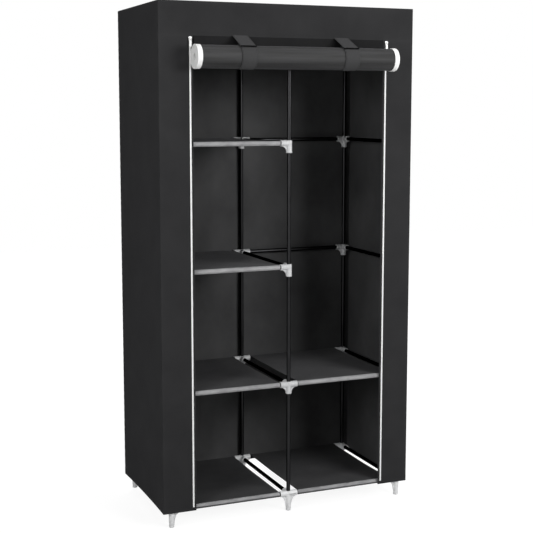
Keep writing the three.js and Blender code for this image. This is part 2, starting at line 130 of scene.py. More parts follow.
class Finish:
    """The network of a material or the world: node() adds a node, and close() ends it."""

    def __init__(self, owner):
        self.owner = bpy.data.materials.new(owner) if isinstance(owner, str) else owner
        self.owner.use_nodes = True
        self.tree = self.owner.node_tree
        self.tree.nodes.clear()

    def _feed(self, socket, value):
        if isinstance(value, Wire):
            self.tree.links.new(value.socket, socket)
        elif socket.type == "RGBA" and len(value) == 3:
            socket.default_value = (*value, 1)
        else:
            socket.default_value = value

    def node(self, kind, settings=None, values=None, output=0):
        """Add a node, set it up, feed its inputs and give one of its outputs."""
        made = self.tree.nodes.new(kind)
        for name, value in (settings or {}).items():
            setattr(made, name, value)
        for name, value in (values or {}).items():
            self._feed(made.inputs[name], value)
        return None if output is None else Wire(self, made.outputs[output])

    def place(self):
        """Where a point lies on its object, in metres."""
        return self.node("ShaderNodeTexCoord", output="Object")

    def cut(self):
        """Where a point lies on the flat cut: across it and along it."""
        flat = self.node("ShaderNodeUVMap", {"uv_map": CUT})
        return [self.node("ShaderNodeSeparateXYZ", values={0: flat}, output=i) for i in range(2)]

    def noise(self, place, scale, detail=3.0, roughness=0.55):
        values = {"Vector": place, "Scale": scale, "Detail": detail, "Roughness": roughness}
        return self.node("ShaderNodeTexNoise", values=values)

    def blend(self, share, first, second):
        values = {0: share, 6: first, 7: second}
        return self.node("ShaderNodeMix", {"data_type": "RGBA"}, values, 2)

    def bump(self, height, depth, strength):
        values = {"Height": height, "Distance": depth, "Strength": strength}
        return self.node("ShaderNodeBump", values=values)

    def surface(self, **sockets):
        values = {name.replace("_", " "): value for name, value in sockets.items()}
        return self.close(self.node("ShaderNodeBsdfPrincipled", values=values))

    def close(self, shader, end="ShaderNodeOutputMaterial"):
        self.node(end, values={"Surface": shader}, output=None)
        return self.owner


# %% [markdown]
# The cover is non-woven cloth: short fibres pressed together and bonded at a grid of tiny dots.
# The dots are sines of the place on the flat cut, the fibres are fine noise, and slow noise
# gives the cloudy look of cheap felt. Edges that were sewn and handled are a little greyer. The
# cover's inner face is a paler copy of the same felt: painted light for the inside of the bays.

# %% Cloth finish
SEAM = "seam"
BOND_PITCH = 1.9 * MM
FIBRE_SCALE = 900.0
FIBRE_CONTRAST = 0.35
MIDDLE_TONE = 0.45
WEAR = 0.25


def felt(
    name,
    dark,
    light,
    sheen=0.12,
    rough=0.72,
    relief=0.14 * MM,
    gloss=0.0,
    mottle=(9, 9, 9),
    contrast=0.75,
):
    """Cloth between two tones. mottle is how fast its clouds change along X, Y and Z."""
    finish = Finish(name)
    across, along = finish.cut()
    turn = 2 * math.pi / BOND_PITCH
    dots = ((across + along) * turn).sine() * ((across - along) * turn).sine()
    place = finish.place()
    fibres = finish.noise(place, FIBRE_SCALE, 4.0, 0.7)
    stretched = finish.node("ShaderNodeVectorMath", {"operation": "MULTIPLY"}, {0: place, 1: mottle})
    clouds = finish.noise(stretched, 1.0, 5.0, 0.6)
    worn = finish.node("ShaderNodeAttribute", {"attribute_name": SEAM}, output="Fac")
    share = (clouds - 0.5) * contrast + (fibres - 0.5) * FIBRE_CONTRAST + MIDDLE_TONE + worn * WEAR
    return finish.surface(
        Base_Color=finish.blend(share, dark, light),
        Roughness=clouds * 0.16 + fibres * 0.1 + (rough - 0.1),
        Normal=finish.bump(fibres * 0.7 + dots * 0.5, relief, 0.8),
        Sheen_Weight=sheen,
        Sheen_Roughness=0.45,
        Sheen_Tint=(0.5, 0.5, 0.52, 1),
        Specular_IOR_Level=gloss,
    )


STREAKS = (3, 95, 95)
BLOTCHES = (26, 60, 60)
BROAD = (5, 5, 4)
COVER_CLOTH = felt("black felt", (0.023, 0.023, 0.024), (0.037, 0.037, 0.038), contrast=1.1)
# The cover's own felt made paler: painted light for the inside of the bays.
PAINTED_LIGHT_INNER_CLOTH = felt(
    "black felt, inner face", (0.046, 0.046, 0.047), (0.092, 0.092, 0.093), mottle=BROAD, contrast=1.8
)
DOOR_CLOTH = felt(
    "black felt, rolled",
    (0.009, 0.009, 0.009),
    (0.034, 0.034, 0.035),
    sheen=0.14,
    rough=0.5,
    gloss=0.22,
    mottle=STREAKS,
    contrast=2.6,
)
# A darker copy of the felt: painted shade for the gap between the header and the roll.
PAINTED_SHADE_DOOR_CLOTH = felt("black felt, tucked", (0.010, 0.010, 0.010), (0.022, 0.022, 0.023), sheen=0.08)
SHELF_CLOTH = felt("shelf felt", (0.030, 0.030, 0.031), (0.056, 0.056, 0.057), contrast=1.2)
# Near-black felt: painted shadow along the free end of each tab.
SHADOW_BAND_CLOTH = felt("strap binding", (0.004, 0.004, 0.004), (0.010, 0.010, 0.010), sheen=0.0)
STRAP_CLOTH = felt("strap felt", (0.042, 0.042, 0.043), (0.062, 0.062, 0.063))
SLEEVE_CLOTH = felt(
    "grey sleeve",
    (0.16, 0.16, 0.165),
    (0.48, 0.48, 0.485),
    sheen=0.1,
    rough=0.6,
    relief=0.3 * MM,
    gloss=0.3,
    mottle=BLOTCHES,
    contrast=1.3,
)
# A darker grey: painted shade on the underside of the lowest sleeves.
UNDERSIDE_SHADE_CLOTH = felt("sleeve lining", (0.060, 0.060, 0.062), (0.12, 0.12, 0.122))
print("cloth finishes:", len(bpy.data.materials))

# %% [markdown]
# The zips are white: a woven tape whose ribs run across it, and a coil of nylon. The stitches
# share a thread finish. The tape's ribs are one sine along the flat cut.

# %% Zip and thread finishes
RIB_PITCH = 0.9 * MM
WHITES = (0.88, 0.88, 0.87), (0.95, 0.95, 0.94)
GRIT_SCALE = 1400.0


def woven_tape():
    """White tape with a rib at each thread that crosses it."""
    finish = Finish("white zip tape")
    _, along = finish.cut()
    ribs = (along * (2 * math.pi / RIB_PITCH)).sine()
    soil = finish.noise(finish.place(), 60.0)
    return finish.surface(
        Base_Color=finish.blend(soil, *WHITES),
        Roughness=soil * 0.15 + 0.6,
        Normal=finish.bump(ribs, 0.08 * MM, 0.7),
    )


def plain(name, dark, light, scale, rough, grain=0.02 * MM, **sockets):
    """A finish of one colour that drifts a little, with a fine grain in its surface."""
    finish = Finish(name)
    place = finish.place()
    drift = finish.noise(place, scale, 4.0)
    grit = finish.noise(place, GRIT_SCALE, 2.0)
    return finish.surface(
        Base_Color=finish.blend(drift, dark, light),
        Roughness=drift * 0.14 + grit * 0.06 + (rough - 0.1),
        Normal=finish.bump(grit, grain, 0.6),
        **sockets,
    )


ZIP_TAPE = woven_tape()
ZIP_COIL = plain("white nylon coil", *WHITES, 80.0, 0.42)
ZIP_ENAMEL = plain("white enamel", (0.80, 0.80, 0.79), (0.88, 0.88, 0.87), 90.0, 0.3, Coat_Weight=0.3)
THREAD = plain(
    "black thread", (0.010, 0.010, 0.010), (0.020, 0.020, 0.021), 500.0, 0.7, Specular_IOR_Level=0.15
)
print("finishes:", len(bpy.data.materials))

# %% [markdown]
# The tubes are steel with a dark metallic enamel, smooth enough for a thin grey highlight. A
# black edge tint keeps their outlines dark, where clear enamel would mirror the floor. Connectors
# are pale grey plastic, which lets a little light in and has a satin skin. The feet take a paler
# copy of that plastic: painted light, making up for the shade of the hem above them.

# %% Frame finishes
ENAMEL = plain(
    "black enamel",
    (0.015, 0.015, 0.016),
    (0.027, 0.027, 0.028),
    30.0,
    0.32,
    Metallic=1.0,
    Specular_Tint=(0, 0, 0, 1),
)


def moulded(name, dark, light):
    """Pale plastic that lets light a few millimetres in."""
    inside = {"Subsurface_Weight": 0.15, "Subsurface_Radius": (4 * MM,) * 3, "Subsurface_Scale": 1.0}
    return plain(name, dark, light, 110.0, 0.44, 0.05 * MM, **inside)


MOULDED = moulded("grey moulded plastic", (0.35, 0.355, 0.36), (0.68, 0.685, 0.69))
# The same plastic made paler for the feet: painted light against the hem's shade.
PAINTED_LIGHT_FOOT_PLASTIC = moulded("pale moulded foot", (0.66, 0.665, 0.67), (0.93, 0.935, 0.94))
print("finishes:", len(bpy.data.materials))

# %% [markdown]
# ## Cloth as thin slabs
# Each cloth starts as a grid of points on its middle surface. The grid is given a thickness
# along its normals, so hems can be thicker, and it keeps the flat cut as UVs in metres.

# %% Mesh helpers
CREASE, FUSED_CREASE = 42, 38


def normals_of(grid, wrap):
    """Unit normals of a grid of points, whose first direction may close on itself."""
    if wrap:
        down = np.roll(grid, -1, 0) - np.roll(grid, 1, 0)
    else:
        down = np.gradient(grid, axis=0)
    normal = np.cross(down, np.gradient(grid, axis=1))
    return normal / np.linalg.norm(normal, axis=2, keepdims=True)


def lengths(points):
    """How far along a path each of its points is."""
    steps = np.linalg.norm(np.diff(points, axis=0), axis=1)
    return np.concatenate([[0.0], np.cumsum(steps)])


def linked(name, data, location=(0, 0, 0)):
    """A new object in the scene."""
    piece = bpy.data.objects.new(name, data)
    piece.location = location
    bpy.context.scene.collection.objects.link(piece)
    return piece


def new_piece(name, vertices, faces, material, crease=CREASE):
    """A mesh in the scene, smooth but for edges sharper than crease, in degrees."""
    mesh = bpy.data.meshes.new(name)
    mesh.from_pydata(np.asarray(vertices).tolist(), [], faces)
    mesh.materials.append(material)
    mesh.polygons.foreach_set("use_smooth", [True] * len(mesh.polygons))
    mesh.set_sharp_from_angle(angle=math.radians(crease))
    return linked(name, mesh)


def slab(name, grid, thickness, material, wrap=False, seam=None, painted_face=None):
    """A closed sheet round a grid of points. thickness is a number or one for each point.

    The last argument is the material of its inner face, where that differs; on the cover it is a paler felt,
    painted light.
    """
    rows, columns = grid.shape[:2]
    half = np.broadcast_to(np.asarray(thickness) / 2, (rows, columns))[..., None]
    normal = normals_of(grid, wrap)
    outer, inner = grid + normal * half, grid - normal * half
    vertices = np.concatenate([outer.reshape(-1, 3), inner.reshape(-1, 3)])
    index = np.arange(rows * columns).reshape(rows, columns)
    under = index + rows * columns
    ring = np.vstack([index, index[:1]]) if wrap else index
    below = np.vstack([under, under[:1]]) if wrap else under

    def quads(a, b, c, d):
        return np.stack([a, b, c, d], -1).reshape(-1, 4)

    faces = [
        quads(ring[:-1, :-1], ring[1:, :-1], ring[1:, 1:], ring[:-1, 1:]),
        quads(below[:-1, :-1], below[:-1, 1:], below[1:, 1:], below[1:, :-1]),
        quads(ring[:-1, 0], below[:-1, 0], below[1:, 0], ring[1:, 0]),
        quads(ring[:-1, -1], ring[1:, -1], below[1:, -1], below[:-1, -1]),
    ]
    if not wrap:
        faces.append(quads(index[0, :-1], index[0, 1:], under[0, 1:], under[0, :-1]))
        faces.append(quads(index[-1, :-1], under[-1, :-1], under[-1, 1:], index[-1, 1:]))
    piece = new_piece(name, vertices, np.concatenate(faces).tolist(), material)
    if painted_face:
        piece.data.materials.append(painted_face)
        count = len(faces[0])
        for face in piece.data.polygons[count : 2 * count]:
            face.material_index = 1
    along = np.broadcast_to(lengths(grid[:, columns // 2])[:, None], (rows, columns))
    across = np.broadcast_to(lengths(grid[rows // 2])[None, :], (rows, columns))
    flat = np.tile(np.stack([across, along], -1).reshape(-1, 2), (2, 1))
    corners = np.empty(len(piece.data.loops), np.int32)
    piece.data.loops.foreach_get("vertex_index", corners)
    piece.data.uv_layers.new(name=CUT).data.foreach_set("uv", flat[corners].ravel())
    worn = np.zeros((rows, columns)) if seam is None else seam
    attribute = piece.data.attributes.new(SEAM, "FLOAT", "POINT")
    attribute.data.foreach_set("value", np.tile(worn.ravel(), 2).astype(np.float32))
    return piece


# %% [markdown]
# Cloth is never quite flat. A few sine waves in directions drawn from a seeded generator give
# soft undulations that are the same on every run.

# %% Waves in cloth
WAVE_COUNT = 5


def waves(first, second, length, seed):
    """Smooth values within about 1 of 0 over two directions, the same on each run."""
    draw = np.random.default_rng(seed)
    total = np.zeros(np.broadcast(first, second).shape)
    for _ in range(WAVE_COUNT):
        turn, phase = draw.uniform(0, 2 * math.pi, 2)
        size = length * draw.uniform(0.7, 1.6)
        reach = first * math.cos(turn) + second * math.sin(turn)
        total = total + np.sin(2 * math.pi * reach / size + phase)
    return total / math.sqrt(WAVE_COUNT * 2)


# %% [markdown]
# Helpers that every piece needs: it rides on a body, and it may stand for solids, whose parts
# are hidden.

# %% Seat a piece on the frame
def settle(piece, nodes=(), body=ROOT):
    """Give a piece its body, and let it stand for the solids named."""
    if nodes:
        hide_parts(*nodes)
    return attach(piece, body)


# %% [markdown]
# ## The cover
# The cover is a box of cloth panels sewn at its corners. Pulled over the frame, each corner is a
# tight curve that two panels share, so each panel ends in an eighth of a circle. Between its
# seams the cloth puckers a little, and it hangs in waves too soft to cast a shadow.

# %% Panels
CLOTH = 0.8 * MM
CORNER_RADIUS = 3.5 * MM
CORNER_STEPS = 4
PUCKER_PITCH = 26 * MM
PUCKER_DEPTH = 0.35 * MM
PUCKER_REACH = 16 * MM
PUCKER_START = 4 * MM
PUCKER_DRIFT, WAVE_LENGTH = 0.2, 0.5
HEM_HEIGHT = 20 * MM
HEM_THICKNESS = 1.6 * MM
PANEL_STEPS = 24 * MM, 9 * MM
CALM_REACH = 60 * MM
WORN_REACH = 7 * MM


def edge_line(length, step, curved_start, curved_end):
    """Places along one side of a panel, and how far each lies inside its plane."""
    count = max(round(length / step), 2)
    start, end = (CORNER_RADIUS if curved else 0.0 for curved in (curved_start, curved_end))
    near = [start + f * HEM_HEIGHT for f in (0.25, 0.5, 0.75)]
    middle = np.linspace(start + HEM_HEIGHT, length - end - HEM_HEIGHT, count)
    far = [length - p + start - end for p in near[::-1]]
    places = np.concatenate([[start], near, middle, far, [length - end]])
    inward = np.zeros(len(places))
    angles = np.linspace(math.pi / 4, 0, CORNER_STEPS, endpoint=False)
    bend = CORNER_RADIUS * (1 - np.sin(angles)), CORNER_RADIUS * (1 - np.cos(angles))
    if curved_start:
        places, inward = np.concatenate([bend[0], places]), np.concatenate([bend[1], inward])
    if curved_end:
        places = np.concatenate([places, length - bend[0][::-1]])
        inward = np.concatenate([inward, bend[1][::-1]])
    return places, inward


def panel(name, corner, across, down, width, height, curved, hem, seed, sag, bow):
    """A cloth panel from its upper corner, with curved = (left, right, top) edges.

    sag is the height of its slow waves, and bow is how far its hem hangs inward.
    """
    across, down = Vector(across), Vector(down)
    outward = np.array(down.cross(across))
    aside, inward_aside = edge_line(width, PANEL_STEPS[0], curved[0], curved[1])
    below, inward_below = edge_line(height, PANEL_STEPS[1], curved[2], False)
    aside, below = aside[None, :], below[:, None]
    from_sides = np.minimum(aside, width - aside)
    from_edge = np.minimum(from_sides, np.minimum(below, height - below))
    calm = 1 - np.exp(-((from_edge / CALM_REACH) ** 2))
    drift = 2 * waves(aside, below, PUCKER_DRIFT, seed + 7)
    pucker = np.cos(2 * math.pi * below / PUCKER_PITCH + drift) * PUCKER_DEPTH
    pucker = pucker * np.exp(-from_sides / PUCKER_REACH) * np.minimum(1, from_edge / PUCKER_START)
    lift = calm * sag * waves(aside, below, WAVE_LENGTH, seed)
    lift = lift - inward_aside[None, :] - inward_below[:, None] + pucker
    low_down = np.clip(below / height * 5 - 4, 0, 1) ** 2
    lift = lift - bow * np.sin(math.pi * np.clip(aside / width, 0, 1)) ** 0.7 * low_down
    hemmed = (below > height - HEM_HEIGHT) * float(hem) + 0 * aside
    thickness = CLOTH + (HEM_THICKNESS - CLOTH) * hemmed
    lift = lift - thickness / 2
    grid = (
        np.array(corner)
        + aside[..., None] * np.array(across)
        + below[..., None] * np.array(down)
        + lift[..., None] * outward
    )
    worn = np.exp(-from_edge / WORN_REACH)
    # The inner face takes the paler felt, painted light for the inside of the bays.
    return slab(name, grid, thickness, COVER_CLOTH, seam=worn, painted_face=PAINTED_LIGHT_INNER_CLOTH)


# %% [markdown]
# The front is a header and two stiles, sewn together with the door. The back hangs in deeper
# waves, because no seam crosses it. The side hems bow inward between the posts, and the right
# one leans nearly on its lowest tube.

# %% Sew the cover
EDGE_GAP = 6.5 * MM
TAPE = {side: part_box(f"zip_tape_{side}") for side in SIDES}
DOORWAY = TAPE["right"][0].x - EDGE_GAP
STILE = HALF_WIDTH - DOORWAY
DEPTH, WIDTH, WALL = BACK - FRONT, 2 * HALF_WIDTH, TOP - HEM
HEADER = TOP - DOOR_TOP
DROP = WALL - HEADER
UPPER = {"left": (-HALF_WIDTH, FRONT, DOOR_TOP), "right": (DOORWAY, FRONT, DOOR_TOP)}
X, Y, Z = Vector((1, 0, 0)), Vector((0, 1, 0)), Vector((0, 0, 1))
PANELS = [
    ("cover_top_cloth", "cover_top", (-HALF_WIDTH, BACK, TOP), X, -Y, WIDTH, DEPTH, (1, 1, 1), 0),
    ("cover_back_cloth", "cover_back", (HALF_WIDTH, BACK, TOP), -X, -Z, WIDTH, WALL, (1, 1, 1), 1),
    ("cover_left_cloth", "cover_left", (-HALF_WIDTH, BACK, TOP), -Y, -Z, DEPTH, WALL, (1, 1, 1), 1),
    ("cover_right_cloth", "cover_right", (HALF_WIDTH, FRONT, TOP), Y, -Z, DEPTH, WALL, (1, 1, 1), 1),
    ("header_cloth", "cover_front", (-HALF_WIDTH, FRONT, TOP), X, -Z, WIDTH, HEADER, (1, 1, 1), 0),
    ("stile_left_cloth", "cover_front", UPPER["left"], X, -Z, STILE, DROP, (1, 0, 0), 1),
    ("stile_right_cloth", "cover_front", UPPER["right"], X, -Z, STILE, DROP, (0, 1, 0), 1),
]
SAGS = {"cover_back": 2.6 * MM, "cover_left": 1.6 * MM, "cover_right": 1.6 * MM}
LEAST_SAG = 1.2 * MM
BOWS = {"cover_left": 4 * MM, "cover_right": 21 * MM}
for seed, (name, node, *shape) in enumerate(PANELS):
    width, height = shape[3:5]
    cloth = panel(name, *shape, seed, SAGS.get(node, LEAST_SAG), BOWS.get(node, 0.0))
    settle(cloth, [node])
    print(name, len(cloth.data.vertices), "vertices")

# %% [markdown]
# ## Round things
# Tubes, sockets and feet are turned shapes. A turned shape is an outline of radius against
# length, spun round an axis. The helper spins about Z, and a turn lays it along X or Y.

# %% Turned shapes
FACETS = 28
TURNS = {
    ("x", 1): Matrix.Rotation(math.pi / 2, 4, "Y"),
    ("x", -1): Matrix.Rotation(-math.pi / 2, 4, "Y"),
    ("y", 1): Matrix.Rotation(-math.pi / 2, 4, "X"),
    ("y", -1): Matrix.Rotation(math.pi / 2, 4, "X"),
    ("z", 1): Matrix.Identity(4),
}


def turned(name, outline, material, turn=("z", 1)):
    """A closed shape spun from (length, radius) points, of which the ends may lie on the axis."""
    angles = np.linspace(0, 2 * math.pi, FACETS, endpoint=False)
    vertices, rings = [], []
    for length, radius in outline:
        if radius == 0:
            rings.append([len(vertices)] * FACETS)
            vertices.append((0, 0, length))
        else:
            rings.append(list(range(len(vertices), len(vertices) + FACETS)))
            vertices += [(radius * math.cos(a), radius * math.sin(a), length) for a in angles]
    faces = []
    closed = rings if outline[0][1] == 0 else [*rings, rings[0]]
    for low, high in zip(closed, closed[1:]):
        for i in range(FACETS):
            j = (i + 1) % FACETS
            faces.append(list(dict.fromkeys([low[i], low[j], high[j], high[i]])))
    piece = new_piece(name, vertices, faces, material)
    piece.data.transform(TURNS[turn])
    return piece


def tube_outline(start, end, radius, wall):
    """A tube with its edges eased, walked up its outside and down its bore."""
    ease = wall / 3
    outer = [(start, radius - ease), (start + ease, radius), (end - ease, radius), (end, radius - ease)]
    return outer + [(end, radius - wall), (start, radius - wall)]


# %% [markdown]
# The loose tubes between the connectors replace their faceted solids one by one. Each solid's
# box gives the middle and the length.

# %% Tubes
TUBE_WALL = 0.6 * MM


def tube(name, axis, low, high, nodes=()):
    """A tube along one axis between two corners of the box that it fills."""
    middle = (low + high) / 2
    half = (high["xyz".index(axis)] - low["xyz".index(axis)]) / 2
    piece = turned(name, tube_outline(-half, half, TUBE_RADIUS, TUBE_WALL), ENAMEL, (axis, 1))
    piece.location = middle
    return settle(piece, nodes)


loose = [name for name in frame["nodes"] if name.startswith(("front_tube", "back_tube"))]
for node in sorted(loose):
    tube(node.replace("_tube_", "_bar_"), "x", *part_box(node), [node])
print("loose tubes:", len(loose))

# %% [markdown]
# Each post is a plain tube from its foot into the top frame. The depth tubes are one piece with
# their connectors in the frame, so here a tube is laid between the two sockets that hold it.

# %% Posts and depth tubes
FOOT_SOLE = 6 * MM
SOCKET_FLOOR = 10.5 * MM
TUBE_END = SOCKET_FLOOR + 0.3 * MM


def bar_between(name, axis, centre, start, end):
    """A tube along one axis through centre, between two places on that axis."""
    low, high = centre.copy(), centre.copy()
    low["xyz".index(axis)], high["xyz".index(axis)] = start, end
    return tube(name, axis, low, high)


FRONT_ROW, BACK_ROW = POSTS["front_left"].y, POSTS["back_left"].y
LEFT, RIGHT = POSTS["front_left"].x, POSTS["front_right"].x
COLUMNS = {"left": LEFT, "centre": 0.0, "right": RIGHT}
for name, foot in POSTS.items():
    post = bar_between(f"post_{name}", "z", foot, FOOT_SOLE, TOP_LEVEL - TUBE_RADIUS)
    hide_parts(f"upright_{name}")
for column, x in COLUMNS.items():
    for index, height in enumerate(LEVELS):
        centre = Vector((x, 0, height))
        ends = FRONT_ROW + TUBE_END, BACK_ROW - TUBE_END
        rail = bar_between(f"side_bar_{column}_{index}", "y", centre, *ends)
        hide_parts(f"depth_tube_{column}_{index}")
print("posts:", len(POSTS), "depth tubes:", len(COLUMNS) * len(LEVELS))

# %% [markdown]
# ## Connectors
# A connector is a moulded junction: an upright sleeve with a socket for each tube, a rounded
# lip at each mouth, and a thin curved web under each socket. The shapes are made apart and
# fused by Boolean modifiers, which find the curved lines where they meet.

# %% Sizes of the mouldings
SOCKET_BORE = TUBE_RADIUS + 0.3 * MM
SOCKET_RADIUS = SOCKET_BORE + 2.7 * MM
MOUTH_RADIUS = SOCKET_RADIUS + 0.8 * MM
SOCKET_REACH = 30 * MM
SLEEVE_DROP = 31 * MM
WEB_THICKNESS = 4.6 * MM
WEB_INSET = 2 * MM
WEB_BITE = 2 * MM
WEB_STEPS = 10
LIP, FLARE = 0.9 * MM, 0.2 * MM
FOOT_TOP, FOOT_TIP = 9.8 * MM, 8.4 * MM
FOOT_WEB_DROP = 46 * MM
EASED_TOP = [
    (SOCKET_RADIUS - LIP, SOCKET_RADIUS),
    (SOCKET_RADIUS - LIP / 3, SOCKET_RADIUS - LIP / 3),
    (SOCKET_RADIUS, SOCKET_RADIUS - LIP),
    (SOCKET_RADIUS, 0),
]


def socket_outline():
    """From the axis, out along the socket's flared outside, over its lip and down its bore."""
    return [
        (0, 0),
        (0, SOCKET_RADIUS),
        (SOCKET_REACH - 6 * LIP, SOCKET_RADIUS + FLARE),
        (SOCKET_REACH - 4 * LIP, MOUTH_RADIUS),
        (SOCKET_REACH - LIP, MOUTH_RADIUS),
        (SOCKET_REACH - LIP / 3, MOUTH_RADIUS - LIP / 3),
        (SOCKET_REACH, MOUTH_RADIUS - LIP),
        (SOCKET_REACH, SOCKET_BORE + LIP / 2),
        (SOCKET_REACH - LIP / 2, SOCKET_BORE),
        (SOCKET_FLOOR, SOCKET_BORE),
        (SOCKET_FLOOR, 0),
    ]


def sleeve_outline():
    """The upright sleeve, with an eased flat top and a lip round its lower mouth."""
    return [
        (-SLEEVE_DROP, 0),
        (-SLEEVE_DROP, MOUTH_RADIUS - LIP),
        (-SLEEVE_DROP + LIP / 3, MOUTH_RADIUS - LIP / 3),
        (-SLEEVE_DROP + LIP, MOUTH_RADIUS),
        (-SLEEVE_DROP + 4 * LIP, MOUTH_RADIUS),
        (-SLEEVE_DROP + 6 * LIP, SOCKET_RADIUS + FLARE),
        *EASED_TOP,
    ]


def foot_outline(drop):
    """A foot: the sleeve's top, then a long taper down to a flat sole with an eased rim."""
    return [
        (-drop, 0),
        (-drop, FOOT_TIP - LIP),
        (-drop + LIP / 3, FOOT_TIP - LIP / 3),
        (-drop + LIP, FOOT_TIP),
        (-SOCKET_RADIUS, FOOT_TOP),
        (0, SOCKET_RADIUS),
        *EASED_TOP,
    ]


# %% [markdown]
# The web is a thin plate whose free edge is a quarter of an ellipse. Its rim is bevelled before
# the pieces are fused, because a bevel after a Boolean often fails on the short edges.

# %% Webs and fusing
def web(axis, side, drop):
    """The plate under a socket, in the plane of the socket and the post."""
    reach, root = SOCKET_REACH - WEB_INSET, SOCKET_RADIUS - WEB_BITE
    curve = []
    for step in range(WEB_STEPS + 1):
        turn = math.pi / 2 * step / WEB_STEPS
        along = reach - (reach - SOCKET_RADIUS) * math.cos(turn)
        curve.append((along, -drop + (drop - SOCKET_RADIUS) * math.sin(turn)))
    outline = [(root, -root), (root, -drop), *curve, (reach, -root)]
    half = WEB_THICKNESS / 2
    mesh = bmesh.new()
    ends = [[mesh.verts.new((x, y, z)) for x, z in outline] for y in (-half, half)]
    mesh.faces.new(ends[0])
    mesh.faces.new(ends[1][::-1])
    count = len(outline)
    for i in range(count):
        j = (i + 1) % count
        mesh.faces.new([ends[0][j], ends[0][i], ends[1][i], ends[1][j]])
    rim = [e for e in mesh.edges if abs(e.verts[0].co.y - e.verts[1].co.y) < half]
    bmesh.ops.bevel(mesh, geom=rim, offset=LIP, segments=2, affect="EDGES")
    bmesh.ops.recalc_face_normals(mesh, faces=mesh.faces)
    data = bpy.data.meshes.new("web")
    mesh.to_mesh(data)
    mesh.free()
    turn = {("x", 1): 0, ("x", -1): math.pi, ("y", 1): math.pi / 2, ("y", -1): -math.pi / 2}[axis, side]
    data.transform(Matrix.Rotation(turn, 4, "Z"))
    data.materials.append(MOULDED)
    return linked("web", data)


def fuse(parts, holes=()):
    """One mesh: the parts joined, with the holes cut out of them."""
    base = parts[0]
    for cutters, operation in ((parts[1:], "UNION"), (holes, "DIFFERENCE")):
        for cutter in cutters:
            step = base.modifiers.new("fuse", "BOOLEAN")
            step.operation, step.solver, step.object = operation, "EXACT", cutter
    graph = bpy.context.evaluated_depsgraph_get()
    mesh = bpy.data.meshes.new_from_object(base.evaluated_get(graph))
    mesh.polygons.foreach_set("use_smooth", [True] * len(mesh.polygons))
    mesh.set_sharp_from_angle(angle=math.radians(FUSED_CREASE))
    for part in [*parts, *holes]:
        bpy.data.objects.remove(part)
    return mesh


# %% [markdown]
# Only a few kinds of connector exist, so each is fused once and its mesh is shared. A kind is
# the set of ways its sockets point, and whether it is a foot, a joint in a post, or a cap.

# %% Connectors, feet and caps
KINDS = {}


def connector_mesh(arms, role):
    """role is foot, joint or cap, and arms is a tuple of (axis, side)."""
    if (arms, role) not in KINDS:
        foot = role == "foot"
        drop = FOOT_WEB_DROP if foot else SLEEVE_DROP - WEB_INSET
        outline = foot_outline(LEVELS[0]) if foot else sleeve_outline()
        # A foot's stem takes the paler plastic, painted light.
        parts = [turned("stem", outline, PAINTED_LIGHT_FOOT_PLASTIC if foot else MOULDED)]
        for axis, side in arms:
            parts += [turned("socket", socket_outline(), MOULDED, (axis, side)), web(axis, side, drop)]
        top = -TUBE_RADIUS if role == "cap" else SOCKET_RADIUS + MM
        low = FOOT_SOLE - LEVELS[0] if foot else -SLEEVE_DROP - MM
        bore = [(low, 0), (low, TUBE_RADIUS), (top, TUBE_RADIUS), (top, 0)]
        KINDS[arms, role] = fuse(parts, [turned("bore", bore, MOULDED)])
    return KINDS[arms, role]


BAYS = {"left": ("left", "centre"), "right": ("centre", "right")}
SHELVED = {"left": (0, 1, 2, 3), "right": (0, 1)}
CAPPED = len(LEVELS)


def arms_at(place, index):
    """The ways a connector's sockets point, at a level or at CAPPED, the top frame."""
    row, column = place.split("_")
    arms = [("y", 1 if row == "front" else -1)]
    for bay, ends in BAYS.items():
        if column in ends and (row == "back" or index == CAPPED or index in SHELVED[bay]):
            arms.append(("x", 1 if column == ends[0] else -1))
    return tuple(arms)


for place, foot in POSTS.items():
    for index, height in enumerate([*LEVELS, TOP_LEVEL]):
        role = "foot" if index == 0 else "cap" if index == CAPPED else "joint"
        name = f"{role}_{place}" if role != "joint" else f"joint_{place}_{index}"
        piece = linked(name, connector_mesh(arms_at(place, index), role), (foot.x, foot.y, height))
        column = place.split("_")[1]
        node = "top_frame" if index == CAPPED else f"depth_tube_{column}_{index}"
        settle(piece, [node])
print("kinds of connector:", len(KINDS))

# %% [markdown]
# The top frame's tubes run between the caps. The hanging rail is one more tube, whose clips
# close round the top depth tubes on either side of the open bay.

# %% Top tubes and the hanging rail
for row, y in (("front", FRONT_ROW), ("back", BACK_ROW)):
    for bay, start, end in (("left", LEFT, 0.0), ("right", 0.0, RIGHT)):
        centre = Vector(((start + end) / 2, y, TOP_LEVEL))
        bar_between(f"top_bar_{row}_{bay}", "x", centre, start + TUBE_END, end - TUBE_END)
for column, x in COLUMNS.items():
    centre = Vector((x, 0, TOP_LEVEL))
    bar_between(f"top_bar_depth_{column}", "y", centre, FRONT_ROW + TUBE_END, BACK_ROW - TUBE_END)

RAIL_LOW, RAIL_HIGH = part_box("hanging_rail")
RAIL_Y = (RAIL_LOW.y + RAIL_HIGH.y) / 2
CLIP = (RAIL_HIGH.y - RAIL_LOW.y) / 2
RAIL_MOUTH = 26 * MM
rail = bar_between("rail_tube", "x", Vector((RIGHT / 2, RAIL_Y, TOP_LEVEL)), TUBE_END, RIGHT - TUBE_END)
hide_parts("hanging_rail")


